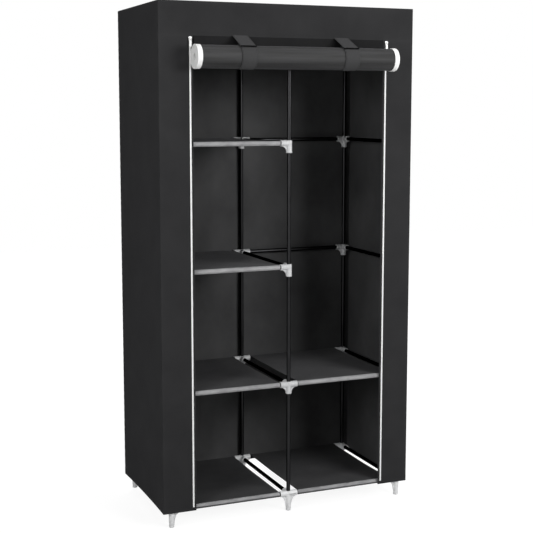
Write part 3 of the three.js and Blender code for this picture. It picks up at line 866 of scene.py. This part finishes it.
def clip_mesh(side):
    """A clip round a depth tube, with the socket that holds the rail's end."""
    ring = [
        (-CLIP, 0),
        (-CLIP, SOCKET_RADIUS - LIP),
        (-CLIP + LIP, SOCKET_RADIUS),
        (CLIP - LIP, SOCKET_RADIUS),
        (CLIP, SOCKET_RADIUS - LIP),
        (CLIP, 0),
    ]
    socket = [
        (0, 0),
        (0, SOCKET_RADIUS),
        (RAIL_MOUTH - LIP, SOCKET_RADIUS),
        (RAIL_MOUTH, SOCKET_RADIUS - LIP),
        (RAIL_MOUTH, SOCKET_BORE),
        (SOCKET_FLOOR, SOCKET_BORE),
        (SOCKET_FLOOR, 0),
    ]
    bore = [(-CLIP - MM, 0), (-CLIP - MM, SOCKET_BORE), (CLIP + MM, SOCKET_BORE), (CLIP + MM, 0)]
    parts = [turned("ring", ring, MOULDED, ("y", 1)), turned("socket", socket, MOULDED, ("x", side))]
    return fuse(parts, [turned("bore", bore, MOULDED, ("y", 1))])


for column, x, side in (("centre", 0.0, 1), ("right", RIGHT, -1)):
    clip = linked(f"rail_clip_{column}", clip_mesh(side), (x, RAIL_Y, TOP_LEVEL))
    settle(clip, ["hanging_rail"])
print(f"hanging rail: {(RAIL_HIGH.x - RAIL_LOW.x) / MM:.0f} mm long")

# %% [markdown]
# ## Shelves
# A shelf is one cloth that sags between two bars. At the back it goes round the bar. At the
# front a pale grey sleeve holds the bar, gathered where it meets the connectors, and on the
# lowest shelf a darker layer over the sleeve's underside is painted shade beneath the bar.

# %% Shelf cloths and sleeves
SHELF_CLOTH_THICKNESS = 0.9 * MM
SLEEVE_RADIUS = TUBE_RADIUS + 0.75 * MM
SLEEVE_THICKNESS = 0.8 * MM
SHELF_PLAY = 0.2 * MM
SAG = 6 * MM
SIDE_HOLD = 4.5 * MM
SHELF_WAVE, SHELF_WAVE_LENGTH = 1.1 * MM, 0.22
SHELF_WORN_REACH = 6 * MM
WRAP_FROM, WRAP_TO = 90, -225
GATHER_PITCH, GATHER_REACH, GATHER_DEPTH = 4.2 * MM, 14 * MM, 0.28 * MM
LOOSENESS, CREASE_LENGTH = 0.16 * MM, 30 * MM
# Where the darker layer of painted shade wraps the lowest sleeves, in degrees, and its gap.
UNDERSIDE_SHADE_FROM, UNDERSIDE_SHADE_TO = 190, 345
UNDERSIDE_SHADE_GAP = 0.1 * MM


def ring_angles(start, end, count):
    """Angles in radians between two given in degrees."""
    return np.linspace(math.radians(start), math.radians(end), count)


def wound(xs, centre, radius, angles):
    """A grid of points round a line along X: radius has a row for each angle."""
    grid = np.empty((len(angles), len(xs), 3))
    grid[..., 0] = xs
    grid[..., 1] = centre[0] + radius * np.cos(angles)[:, None]
    grid[..., 2] = centre[1] + radius * np.sin(angles)[:, None]
    return grid


def shelf_path(front, back, height):
    """From the top of the front sleeve, sagging to the back bar, and round it to its front."""
    top = SLEEVE_RADIUS + SHELF_PLAY
    share = np.linspace(-1, 1, 41)[:-1]
    y = (front + back) / 2 + share * (back - front) / 2
    run = np.stack([y, height + top - SAG * (1 - share**2)], -1)
    around = ring_angles(WRAP_FROM, WRAP_TO, 32)
    wrap = np.stack([back + top * np.cos(around), height + top * np.sin(around)], -1)
    return np.concatenate([run, wrap])


def swept(path, xs):
    """A grid of points: a path in the YZ plane, carried along X."""
    grid = np.empty((len(path), len(xs), 3))
    grid[..., 0] = xs
    grid[..., 1:] = path[:, None]
    return grid


def sleeve(name, low_x, high_x, height, start, end, radius, material, seed):
    """Cloth round the front bar, gathered into fine rings at both ends."""
    xs = np.linspace(low_x, high_x, 150)
    angles = ring_angles(start, end, 30)
    closed = abs(end - start) >= 360
    if closed:
        angles = angles[:-1]
    edge = np.minimum(xs - low_x, high_x - xs)[None, :]
    gather = np.sin(2 * math.pi * edge / GATHER_PITCH) * np.exp(-edge / GATHER_REACH) * GATHER_DEPTH
    loose_cloth = waves(xs[None, :] * 3, angles[:, None] * radius, CREASE_LENGTH, seed) * LOOSENESS
    grid = wound(xs, (FRONT_ROW, height), radius + gather + loose_cloth, angles)
    return slab(name, grid, SLEEVE_THICKNESS, material, wrap=closed)


for bay, indexes in SHELVED.items():
    for index in indexes:
        node, height = f"shelf_{bay}_{index}", LEVELS[index]
        low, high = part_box(node)
        path = shelf_path(FRONT_ROW, BACK_ROW, height)
        xs = np.linspace(low.x, high.x, 30)
        grid = swept(path, xs)
        free = np.sin(np.pi * np.clip((grid[..., 1] - FRONT_ROW) / (BACK_ROW - FRONT_ROW), 0, 1))
        side = np.abs(2 * xs - low.x - high.x) / (high.x - low.x)
        grid[..., 2] += free * SIDE_HOLD * side[None, :] ** 4
        seed = index + 10 * (bay == "right")
        wave = waves(grid[..., 0], grid[..., 1], SHELF_WAVE_LENGTH, seed + 31)
        grid[..., 2] += free * SHELF_WAVE * wave
        edge = np.minimum(grid[..., 0] - low.x, high.x - grid[..., 0])
        worn = np.exp(-edge / SHELF_WORN_REACH)
        cloth = slab(f"{node}_cloth", grid, SHELF_CLOTH_THICKNESS, SHELF_CLOTH, seam=worn)
        settle(cloth, [node])
        ends = low.x, high.x, height
        front = sleeve(f"{node}_sleeve", *ends, 0, 360, SLEEVE_RADIUS, SLEEVE_CLOTH, seed)
        settle(front)
        if index == 0:
            # The lowest sleeve gets a darker layer underneath: painted shade.
            radius = SLEEVE_RADIUS + SLEEVE_THICKNESS + UNDERSIDE_SHADE_GAP
            around = UNDERSIDE_SHADE_FROM, UNDERSIDE_SHADE_TO, radius
            under = sleeve(f"{node}_lining", *ends, *around, UNDERSIDE_SHADE_CLOTH, seed + 5)
            settle(under)
print("shelves:", sum(len(indexes) for indexes in SHELVED.values()))

# %% [markdown]
# ## The door
# The door is rolled up from its hem in ten turns, so its section is a spiral. The straps hold
# the roll in two places and it swells slightly between them. A real roll is never even, so the
# outer turns wander by a fraction of a millimetre.

# %% Sizes of the roll
ROLL_CORE = 9 * MM
ROLL_PITCH = 2.7 * MM
ROLL_STANDOFF = 15.5 * MM
ROLL_DROP = 65 * MM
SEAM_GAP = 0.3 * MM
DOOR_EDGE = DOOR_TOP + SEAM_GAP
WOUND = DOOR_EDGE - ROLL_DROP - HEM
ROLL_RADIUS = math.sqrt(ROLL_CORE**2 + WOUND * ROLL_PITCH / math.pi)
AXIS_Y, AXIS_Z = FRONT - ROLL_STANDOFF - ROLL_RADIUS, DOOR_EDGE - ROLL_DROP
ROLL_TURNS = (ROLL_RADIUS - ROLL_CORE) / ROLL_PITCH
ROLL_LOW, ROLL_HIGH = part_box("door_roll")


def on_roll(radius, angle):
    """Angles run from the back of the roll, down, under it and up its front."""
    return np.stack([AXIS_Y + radius * np.cos(angle), AXIS_Z - radius * np.sin(angle)], -1)


def touch_angle(point, radius, over_top=False):
    """Where a straight strip from a point above the roll touches a circle round its axis."""
    y, z = point[0] - AXIS_Y, point[1] - AXIS_Z
    half = math.acos(radius / math.hypot(y, z))
    return -(math.atan2(z, y) + (half if over_top else -half))


CLOTH_INSET = 0.5 * MM
SHEET_SEAM = np.array([FRONT + CLOTH_INSET, DOOR_TOP])
SHEET_RADIUS = ROLL_RADIUS - CLOTH_INSET
ROLL_START = touch_angle(SHEET_SEAM, SHEET_RADIUS)
print(f"roll: {ROLL_TURNS:.1f} turns, {2 * ROLL_RADIUS / MM:.1f} mm across")

# %% [markdown]
# The straps' places come from their solids. Between them the outer turns swell by up to a
# millimetre, and the swelling fades towards the core. Long soft ridges run along the outermost
# turn, where the cloth was pulled round unevenly.

# %% Roll the door
STRAP_X = {side: sum(corner.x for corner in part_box(f"strap_loop_{side}")) / 2 for side in SIDES}
STRAP_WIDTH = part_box("strap_loop_left")[1].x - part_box("strap_loop_left")[0].x
STRAP_HOLD = STRAP_WIDTH * 0.6
SWELL, SWELL_LENGTH = 1.1 * MM, 0.16
RIDGE, RIDGE_LENGTH = 0.5 * MM, 30 * MM
DOOR_THICKNESS = 0.9 * MM
STEPS_PER_TURN = 36


def spiral(outer, inner, xs, swell, seed):
    """A grid that winds in from the outer radius to the inner one."""
    steps = round(ROLL_TURNS * STEPS_PER_TURN)
    share = np.linspace(0, 1, steps + 1)
    angle = ROLL_START + 2 * math.pi * ROLL_TURNS * share
    radius = outer + (inner - outer) * share
    held = sum(np.exp(-(((xs - x) / STRAP_HOLD) ** 4)) for x in STRAP_X.values())
    ease = np.clip(share * ROLL_TURNS * 3, 0, 1) * np.clip(1 - share * 1.3, 0, 1)
    puff = (1 - held)[None, :] * ease[:, None] * swell
    wander = 0.6 + 0.4 * waves(xs[None, :], angle[:, None] * 0.03, SWELL_LENGTH, seed)
    ridges = waves(xs[None, :] * 0.1, angle[:, None] * outer, RIDGE_LENGTH, seed + 2) * RIDGE
    outermost = np.clip(1.4 - share * ROLL_TURNS, 0, 1)[:, None] * (1 - held)[None, :]
    reach = radius[:, None] + puff * wander + ridges * outermost * ease[:, None]
    return wound(xs, (AXIS_Y, AXIS_Z), reach, -angle)


xs = np.linspace(ROLL_LOW.x, ROLL_HIGH.x, 60)
grid = spiral(SHEET_RADIUS, ROLL_CORE + CLOTH_INSET, xs, SWELL, 5)
roll = slab("rolled_door", grid, DOOR_THICKNESS, DOOR_CLOTH)
settle(roll, ["door_roll"], "door")
print(f"cloth on the roll: {WOUND / MM:.0f} mm")

# %% [markdown]
# The stretch of door between its seam and the roll is a sheet from the cover's seam down to the
# roll, with a slight belly. Its finish is a darker copy of the felt: painted shade for the
# shadowed gap between the header and the roll.

# %% The stretch above the roll
BELLY, BELLY_LENGTH = 1.2 * MM, 0.14
sheet_end = on_roll(SHEET_RADIUS, ROLL_START)
share = np.linspace(0, 1, 24)[:, None]
path = SHEET_SEAM + (sheet_end - SHEET_SEAM) * share
grid = swept(path, xs)
belly = np.sin(np.pi * share) * waves(grid[..., 0], grid[..., 2], BELLY_LENGTH, 3) * BELLY
grid[..., 1] += belly
# The darker felt here is painted shade for the gap under the header.
door_sheet = slab("hanging_door", grid, DOOR_THICKNESS, PAINTED_SHADE_DOOR_CLOTH)
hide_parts("door_sheet")
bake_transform(door_sheet)
print(f"cloth above the roll: {lengths(path)[-1] / MM:.0f} mm")

# %% [markdown]
# The door's half of each zip winds up with it and shows as a white disc at the roll's ends: a
# tape that fills the space between its turns, and a toothed coil along its outer edge.

# %% Wound zips
COIL_PITCH = 1.5 * MM
COIL_WIDTH = 2.4 * MM
ZIP_SWELL, ZIP_INSET = 1.5 * MM, 0.6 * MM
WOUND_THICKNESS = 2.6 * MM
TOOTHED_STEPS = 1600
TOOTH_RISE = 0.1 * MM


def wound_grid(xs, teeth=0.0):
    """A spiral as the door's own, a little fuller, with its radius toothed if asked."""
    count = TOOTHED_STEPS if teeth else round(ROLL_TURNS * STEPS_PER_TURN)
    share = np.linspace(0, 1, count)
    angle = ROLL_START + 2 * math.pi * ROLL_TURNS * share
    radius = ROLL_RADIUS - ZIP_INSET + ZIP_SWELL * (1 - share) + (ROLL_CORE + MM - ROLL_RADIUS) * share
    if teeth:
        radius = radius + teeth * np.where(np.arange(count) % 2, 1, -1)
    return wound(xs, (AXIS_Y, AXIS_Z), radius[:, None], -angle)


for side, sign in SIDES.items():
    low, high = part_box(f"door_zip_{side}")
    inner, outer = (high.x, low.x) if sign < 0 else (low.x, high.x)
    edge = outer - sign * COIL_WIDTH
    grid = wound_grid(np.linspace(*sorted((inner, edge)), 4))
    tape = slab(f"wound_tape_{side}", grid, WOUND_THICKNESS, ZIP_TAPE)
    settle(tape, [f"door_zip_{side}"], "door")
    grid = wound_grid(np.linspace(*sorted((edge, outer)), 3), TOOTH_RISE)
    coil = slab(f"wound_coil_{side}", grid, WOUND_THICKNESS, ZIP_COIL)
    settle(coil, (), "door")
print("turns of each wound zip:", round(ROLL_TURNS, 1))

# %% [markdown]
# ## Stitches
# Thread is what makes cloth look sewn. Each stitch is a slim eight-sided bead, and a row of
# them follows a line of points just proud of the cloth.

# %% Stitches along a line
STITCH_STEP = 6.5 * MM
STITCH_LENGTH = 5.0 * MM
STITCH_WIDTH = 1.2 * MM
STITCH_FACES = [(0, 2, 4), (2, 1, 4), (1, 3, 4), (3, 0, 4), (2, 0, 5), (1, 2, 5), (3, 1, 5), (0, 3, 5)]


def sampled(values, reach, places):
    """Values along a path, at the given places on it."""
    return np.stack([np.interp(places, reach, values[:, i]) for i in range(3)], -1)


def stitching(name, rows, width=STITCH_WIDTH):
    """One piece of thread for several rows, each (points, the way the cloth faces)."""
    vertices, faces = [], []
    for points, outward in rows:
        points = np.asarray(points, float)
        reach = lengths(points)
        places = np.arange(STITCH_STEP / 2, reach[-1], STITCH_STEP)
        centres = sampled(points, reach, places)
        ups = sampled(np.broadcast_to(np.asarray(outward, float), points.shape), reach, places)
        ways = sampled(points, reach, places + MM) - sampled(points, reach, places - MM)
        ways /= np.linalg.norm(ways, axis=1, keepdims=True)
        for centre, way, up, aside in zip(centres, ways, ups, np.cross(ways, ups)):
            start = len(vertices)
            vertices += [centre - way * STITCH_LENGTH / 2, centre + way * STITCH_LENGTH / 2]
            vertices += [centre - aside * width / 2, centre + aside * width / 2]
            vertices += [centre + up * STITCH_WIDTH / 2, centre - up * STITCH_WIDTH / 4]
            faces += [tuple(start + i for i in face) for face in STITCH_FACES]
    return new_piece(name, vertices, faces, THREAD, crease=180)


def line(start, end):
    """Points on a straight line."""
    return np.linspace(start, end, 40)


# %% [markdown]
# The cover is stitched across the header, down both sides of each zip, and round its hem. The
# header's rows stop at the straps, whose own seams take over there.

# %% Stitch the cover
OUT = {"front": (0, -1, 0), "back": (0, 1, 0), "left": (-1, 0, 0), "right": (1, 0, 0)}
HEM_STITCH = HEM + HEM_HEIGHT - 3 * MM
ZIP_BAND = 5.4 * MM
ROW_RISES = 3 * MM, 9 * MM
ROW_CLEARANCE = 2 * MM
strap_edges = [x + side * STRAP_HOLD for x in sorted(STRAP_X.values()) for side in (-1, 1)]
stops = [-DOORWAY, *strap_edges, DOORWAY]
rows = []
for z in (DOOR_EDGE + rise for rise in ROW_RISES):
    for start, end in zip(stops[::2], stops[1::2]):
        rows.append((line((start, FRONT, z), (end, FRONT, z)), OUT["front"]))
for side, sign in SIDES.items():
    for inset in (EDGE_GAP / 2, EDGE_GAP + ZIP_BAND + ROW_CLEARANCE):
        x = sign * (DOORWAY + inset)
        rows.append((line((x, FRONT, HEM + ROW_CLEARANCE), (x, FRONT, DOOR_TOP)), OUT["front"]))
    x, z = sign * HALF_WIDTH, HEM_STITCH
    rows.append((line((sign * DOORWAY, FRONT, z), (x, FRONT, z)), OUT["front"]))
    rows.append((line((x, FRONT, z), (x, BACK, z)), OUT[side]))
rows.append((line((-HALF_WIDTH, BACK, HEM_STITCH), (HALF_WIDTH, BACK, HEM_STITCH)), OUT["back"]))
thread = stitching("cover_stitches", rows)
settle(thread)
print("cover stitches:", len(thread.data.polygons) // len(STITCH_FACES))

# %% [markdown]
# ## Straps
# Each strap has two halves: a loop that is sewn behind the header, goes down behind the roll and
# up its front, and a tab that is sewn over the seam and lies on top. The tab's free end curls up
# a little, which casts a thin real shadow, and its last few millimetres carry a near-black band:
# painted shadow that draws the dark line across the strap. Each loop and its stitches get a mesh
# of their own.

# %% Loops and tabs
STRAP_THICKNESS = 1.2 * MM
TAB_THICKNESS = 1.6 * MM
LOOP_END = math.radians(292)
SEWN_END = 8 * MM
STRAP_EDGE, STRAP_STITCH, STRAP_WORN_REACH = 3 * MM, 2 * MM, 3 * MM
TAB_LIE = math.radians(15)
TAB_CURL, TAB_LIFT = 12 * MM, 3 * MM
# The length and overhang of the near-black band at the tab's end, which is painted shadow.
SHADOW_BAND_LENGTH, SHADOW_BAND_EDGE = 5 * MM, 0.6 * MM
TAB_JOINT_Y, TAB_JOINT_Z = next(
    joint["pos_m"][1:] for joint in frame["joints"] if joint["name"] == "strap_tab_left_lift"
)
LOOP_RADIUS = ROLL_RADIUS + SEAM_GAP + STRAP_THICKNESS / 2
loop_seam = np.array([FRONT + MM + SEAM_GAP + STRAP_THICKNESS / 2, DOOR_TOP])
loop_top = loop_seam + (0, SEWN_END)
loop_angles = np.linspace(touch_angle(loop_seam, LOOP_RADIUS), LOOP_END, 60)
drop = np.linspace(loop_seam, on_roll(LOOP_RADIUS, loop_angles[0]), 12)[:-1]
loop_path = np.concatenate([[loop_top], drop, on_roll(LOOP_RADIUS, loop_angles)])


def path_normals(path):
    """The side of a YZ path that faces away from the roll's axis, as 3D vectors."""
    way = np.gradient(path, axis=0)
    normal = np.stack([np.zeros(len(path)), -way[:, 1], way[:, 0]], -1)
    normal /= np.linalg.norm(normal, axis=1, keepdims=True)
    away = path - np.array([AXIS_Y, AXIS_Z])
    return normal * np.sign((normal[:, 1:] * away).sum(1))[:, None]


def edge_rows(path, x, thickness):
    """Two rows of stitches, one near each edge of a strap."""
    normal = path_normals(path)
    rows = []
    for sign in (-1, 1):
        place = np.full((len(path), 1), x + sign * (STRAP_WIDTH / 2 - STRAP_EDGE))
        rows.append((np.hstack([place, path]) + normal * thickness / 2, normal))
    return rows


tab_radius = LOOP_RADIUS + STRAP_THICKNESS / 2 + SEAM_GAP + TAB_THICKNESS / 2
tab_seam = np.array([TAB_JOINT_Y, TAB_JOINT_Z])
tab_touch = touch_angle(tab_seam, tab_radius, over_top=True)
tab_lie = on_roll(tab_radius, np.linspace(tab_touch, tab_touch - TAB_LIE, 9)[1:])
tab_path = np.concatenate([np.linspace(tab_seam, on_roll(tab_radius, tab_touch), 16), tab_lie])
tab_reach = lengths(tab_path)
curl = np.clip((tab_reach - tab_reach[-1]) / TAB_CURL + 1, 0, 1) ** 2 * TAB_LIFT
tab_path = tab_path + path_normals(tab_path)[:, 1:] * curl[:, None]
for side, x in STRAP_X.items():
    strap_xs = np.linspace(x - STRAP_WIDTH / 2, x + STRAP_WIDTH / 2, 13)
    edge = np.minimum(strap_xs - strap_xs[0], strap_xs[-1] - strap_xs)[None, :]
    worn = np.exp(-edge / STRAP_WORN_REACH)
    grid = swept(loop_path, strap_xs)
    loop = slab(f"loop_{side}", grid, STRAP_THICKNESS, STRAP_CLOTH, seam=worn + 0 * loop_path[:, :1])
    settle(loop, [f"strap_loop_{side}"])
    rows = edge_rows(loop_path[1:], x, STRAP_THICKNESS)
    loop_thread = stitching(f"loop_{side}_stitches", rows, STRAP_STITCH)
    settle(loop_thread)
    for soft in (loop, loop_thread):
        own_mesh(soft)
    grid = swept(tab_path, strap_xs)
    tab = slab(f"tab_{side}", grid, TAB_THICKNESS, STRAP_CLOTH, seam=worn + 0 * tab_path[:, :1])
    settle(tab, [f"strap_tab_{side}"], f"strap_tab_{side}")
    # The tab's last few millimetres get a near-black band: painted shadow under its lifted end.
    bound = tab_path[tab_reach > tab_reach[-1] - SHADOW_BAND_LENGTH]
    grid = swept(bound, np.linspace(strap_xs[0] - SHADOW_BAND_EDGE, strap_xs[-1] + SHADOW_BAND_EDGE, 3))
    shadow_band = slab(f"tab_{side}_binding", grid, TAB_THICKNESS + 2 * SHADOW_BAND_EDGE, SHADOW_BAND_CLOTH)
    settle(shadow_band, (), f"strap_tab_{side}")
    rows = edge_rows(tab_path, x, TAB_THICKNESS)
    tab_thread = stitching(f"tab_{side}_stitches", rows, STRAP_STITCH)
    settle(tab_thread, (), f"strap_tab_{side}")
print(f"loop {lengths(loop_path)[-1] / MM:.0f} mm long, tab {tab_reach[-1] / MM:.0f} mm before it curls")

# %% [markdown]
# ## Zips
# On each stile lies the other half of a zip: a white tape with a coil along the side that faces
# the doorway. The coil is a row of small rounded teeth. Slider and pull keep their solids, which
# already have the right shape, and get bevelled edges and enamel.

# %% Tapes, coils, sliders and pulls
TOOTH = (COIL_WIDTH, 1.3 * MM, 1.0 * MM)
TOOTH_POINTS = 24
STILE_TAPE_THICKNESS, STILE_TAPE_STANDOFF, COIL_STANDOFF = 1.0 * MM, 0.8 * MM, 0.7 * MM
EASED = 0.25 * MM


def coil_of_teeth(name, x, y, low_z, high_z):
    """A column of bevelled teeth, one at each turn of the coil."""
    seed = bmesh.new()
    bmesh.ops.create_cube(seed, size=1)
    bmesh.ops.scale(seed, vec=TOOTH, verts=seed.verts)
    bmesh.ops.bevel(seed, geom=seed.edges[:], offset=EASED, segments=1, affect="EDGES")
    shape = np.array([v.co for v in seed.verts])
    faces = [[v.index for v in f.verts] for f in seed.faces]
    seed.free()
    heights = np.arange(low_z, high_z, COIL_PITCH)
    places = np.stack([0 * heights + x, 0 * heights + y, heights], -1)
    vertices = (shape[None] + places[:, None]).reshape(-1, 3)
    every = [[i + k * len(shape) for i in face] for k in range(len(heights)) for face in faces]
    return new_piece(name, vertices, every, ZIP_COIL)


for side, sign in SIDES.items():
    low, high = TAPE[side]
    inner = low.x if sign > 0 else high.x
    band = np.linspace(*sorted((inner + sign * TOOTH[0] * 0.6, inner + sign * ZIP_BAND)), 4)
    z = np.linspace(high.z, low.z, 200)
    grid = np.empty((len(z), len(band), 3))
    grid[..., 0], grid[..., 1], grid[..., 2] = band, low.y + STILE_TAPE_STANDOFF, z[:, None]
    tape = slab(f"stile_tape_{side}", grid, STILE_TAPE_THICKNESS, ZIP_TAPE)
    settle(tape, [f"zip_tape_{side}"])
    x, y = inner + sign * TOOTH[0] / 2, low.y + COIL_STANDOFF
    coil = coil_of_teeth(f"stile_coil_{side}", x, y, low.z, high.z)
    settle(coil)
    for part in ("slider", "pull"):
        metal = frame["nodes"][f"zip_{part}_{side}"]
        metal.data.materials.clear()
        metal.data.materials.append(ZIP_ENAMEL)
        ease = metal.modifiers.new("eased edges", "BEVEL")
        ease.width, ease.segments, ease.limit_method = EASED, 2, "ANGLE"
print("teeth:", len(coil.data.vertices) // TOOTH_POINTS * 2)

# %% [markdown]
# ## Floor, light and camera
# Three kinds of ray look at the surroundings: the camera's own, reflections, and rays through
# clear things. They see white, while the light that falls on the cloth is set apart from it.

# %% Rays that look
LOOKING_RAYS = ("Is Camera Ray", "Is Glossy Ray", "Is Transmission Ray")


def looks_at(finish):
    """1 for a ray that looks at its surroundings, 0 for one that carries light to the cloth."""
    camera, glossy, through = (finish.node("ShaderNodeLightPath", output=ray) for ray in LOOKING_RAYS)
    either = {"operation": "ADD", "use_clamp": True}
    return finish.node("ShaderNodeMath", either, {0: camera, 1: glossy + through})


print("rays that see white:", len(LOOKING_RAYS))

# %% [markdown]
# The floor is plain and pale. To rays that look at it, straight or in a reflection, most of it is
# white light of its own, so it meets the background without a line, and the rest is a matt
# surface that still takes the wardrobe's shadow. What lights the cloth from below is matt only.

# %% Floor
FLOOR_SIZE = 14.0
FLOOR_GLOW = 1.3
NEAR, FAR = 1.2, 3.0
GLOW_NEAR, GLOW_FAR = 0.7, 0.8
floor_finish = Finish("pale floor")
looking = looks_at(floor_finish)
cloudy = floor_finish.noise(floor_finish.place(), 3.0)
tone = floor_finish.blend(cloudy, (0.55, 0.55, 0.55), (0.58, 0.58, 0.58))
matt = floor_finish.node("ShaderNodeBsdfDiffuse", values={"Color": tone})
glow = {"Color": (1, 1, 1), "Strength": FLOOR_GLOW}
white = floor_finish.node("ShaderNodeEmission", values=glow)
length_of = {"operation": "LENGTH"}
distance = floor_finish.node("ShaderNodeVectorMath", length_of, {0: floor_finish.place()}, 1)
ranges = {"Value": distance, "From Min": NEAR, "From Max": FAR, "To Min": GLOW_NEAR, "To Max": GLOW_FAR}
share = floor_finish.node("ShaderNodeMapRange", values=ranges)
seen = floor_finish.node("ShaderNodeMixShader", values={0: looking * share, 1: matt, 2: white})
floor_finish.close(seen)
bpy.ops.mesh.primitive_plane_add(size=FLOOR_SIZE)
floor = bpy.context.object
floor.name = "floor"
floor.data.materials.append(floor_finish.owner)
print("floor:", FLOOR_SIZE, "m square")

# %% [markdown]
# The world is white where it is looked at and much softer where it lights the cloth. The key lamp
# stands close on the right, level with the upper shelves: it reaches the back of the left bay and
# fades towards the feet. The fill lamp on the left reaches the right wall inside, and a lamp
# overhead draws the bright line along the roll's top. Two more light the back and the far side.

# %% World and lamps
AMBIENT = 0.13
world = bpy.data.worlds.new("studio")
bpy.context.scene.world = world
studio = Finish(world)
strength = looks_at(studio) * (1 - AMBIENT) + AMBIENT
sky = studio.node("ShaderNodeBackground", values={"Color": (1, 1, 1), "Strength": strength})
studio.close(sky, "ShaderNodeOutputWorld")


def lamp(name, place, aim, size, watts):
    """A soft rectangular lamp that faces a point."""
    light = bpy.data.lights.new(name, "AREA")
    light.shape, light.size, light.size_y, light.energy = "RECTANGLE", *size, watts
    holder = linked(name, light, place)
    holder.rotation_euler = (Vector(aim) - Vector(place)).to_track_quat("-Z", "Y").to_euler()
    holder.visible_camera = False


CENTRE = (0, 0, TOP / 2)
lamp("key", place=(1.2, -2.6, 1.75), aim=(0, 0, 1.15), size=(1.2, 1.0), watts=55)
lamp("overhead", place=(0, -1.0, 3.0), aim=(0, -0.3, 1.5), size=(1.8, 0.4), watts=15)
lamp("fill", place=(-2.6, -1.75, 1.6), aim=CENTRE, size=(1.0, 1.4), watts=36)
lamp("back", place=(0.8, 3.4, 2.4), aim=CENTRE, size=(2.0, 1.6), watts=75)
lamp("side", place=(3.6, 0.8, 2.2), aim=CENTRE, size=(1.6, 1.6), watts=65)
print("lamps:", len(bpy.data.lights))

# %% [markdown]
# The camera stands to the left of the doorway, a little above the left bay's top shelf, so that
# shelf shows almost edge on and the lower ones show more and more of their tops. A level camera
# with a large lens shift would keep every upright exactly upright, but the shift also moves the
# wardrobe out of the frame in other views, so most of it is traded for a slight downward tilt.

# %% Camera
CAMERA_PLACE = (-1.4783, -3.5076, 1.3334)
CAMERA_YAW, CAMERA_TILT = 0.3966, math.radians(7.167)
LENS, SENSOR, SHIFT = 76.58, 36, -0.03
camera_data = bpy.data.cameras.new("camera")
camera_data.lens, camera_data.sensor_width, camera_data.shift_y = LENS, SENSOR, SHIFT
camera = linked("camera", camera_data, CAMERA_PLACE)
camera.rotation_euler = (math.pi / 2 - CAMERA_TILT, 0, -CAMERA_YAW)
bpy.context.scene.camera = camera
bpy.context.scene.view_settings.view_transform = "Standard"
print("the camera looks down by", round(math.degrees(CAMERA_TILT), 1), "degrees")
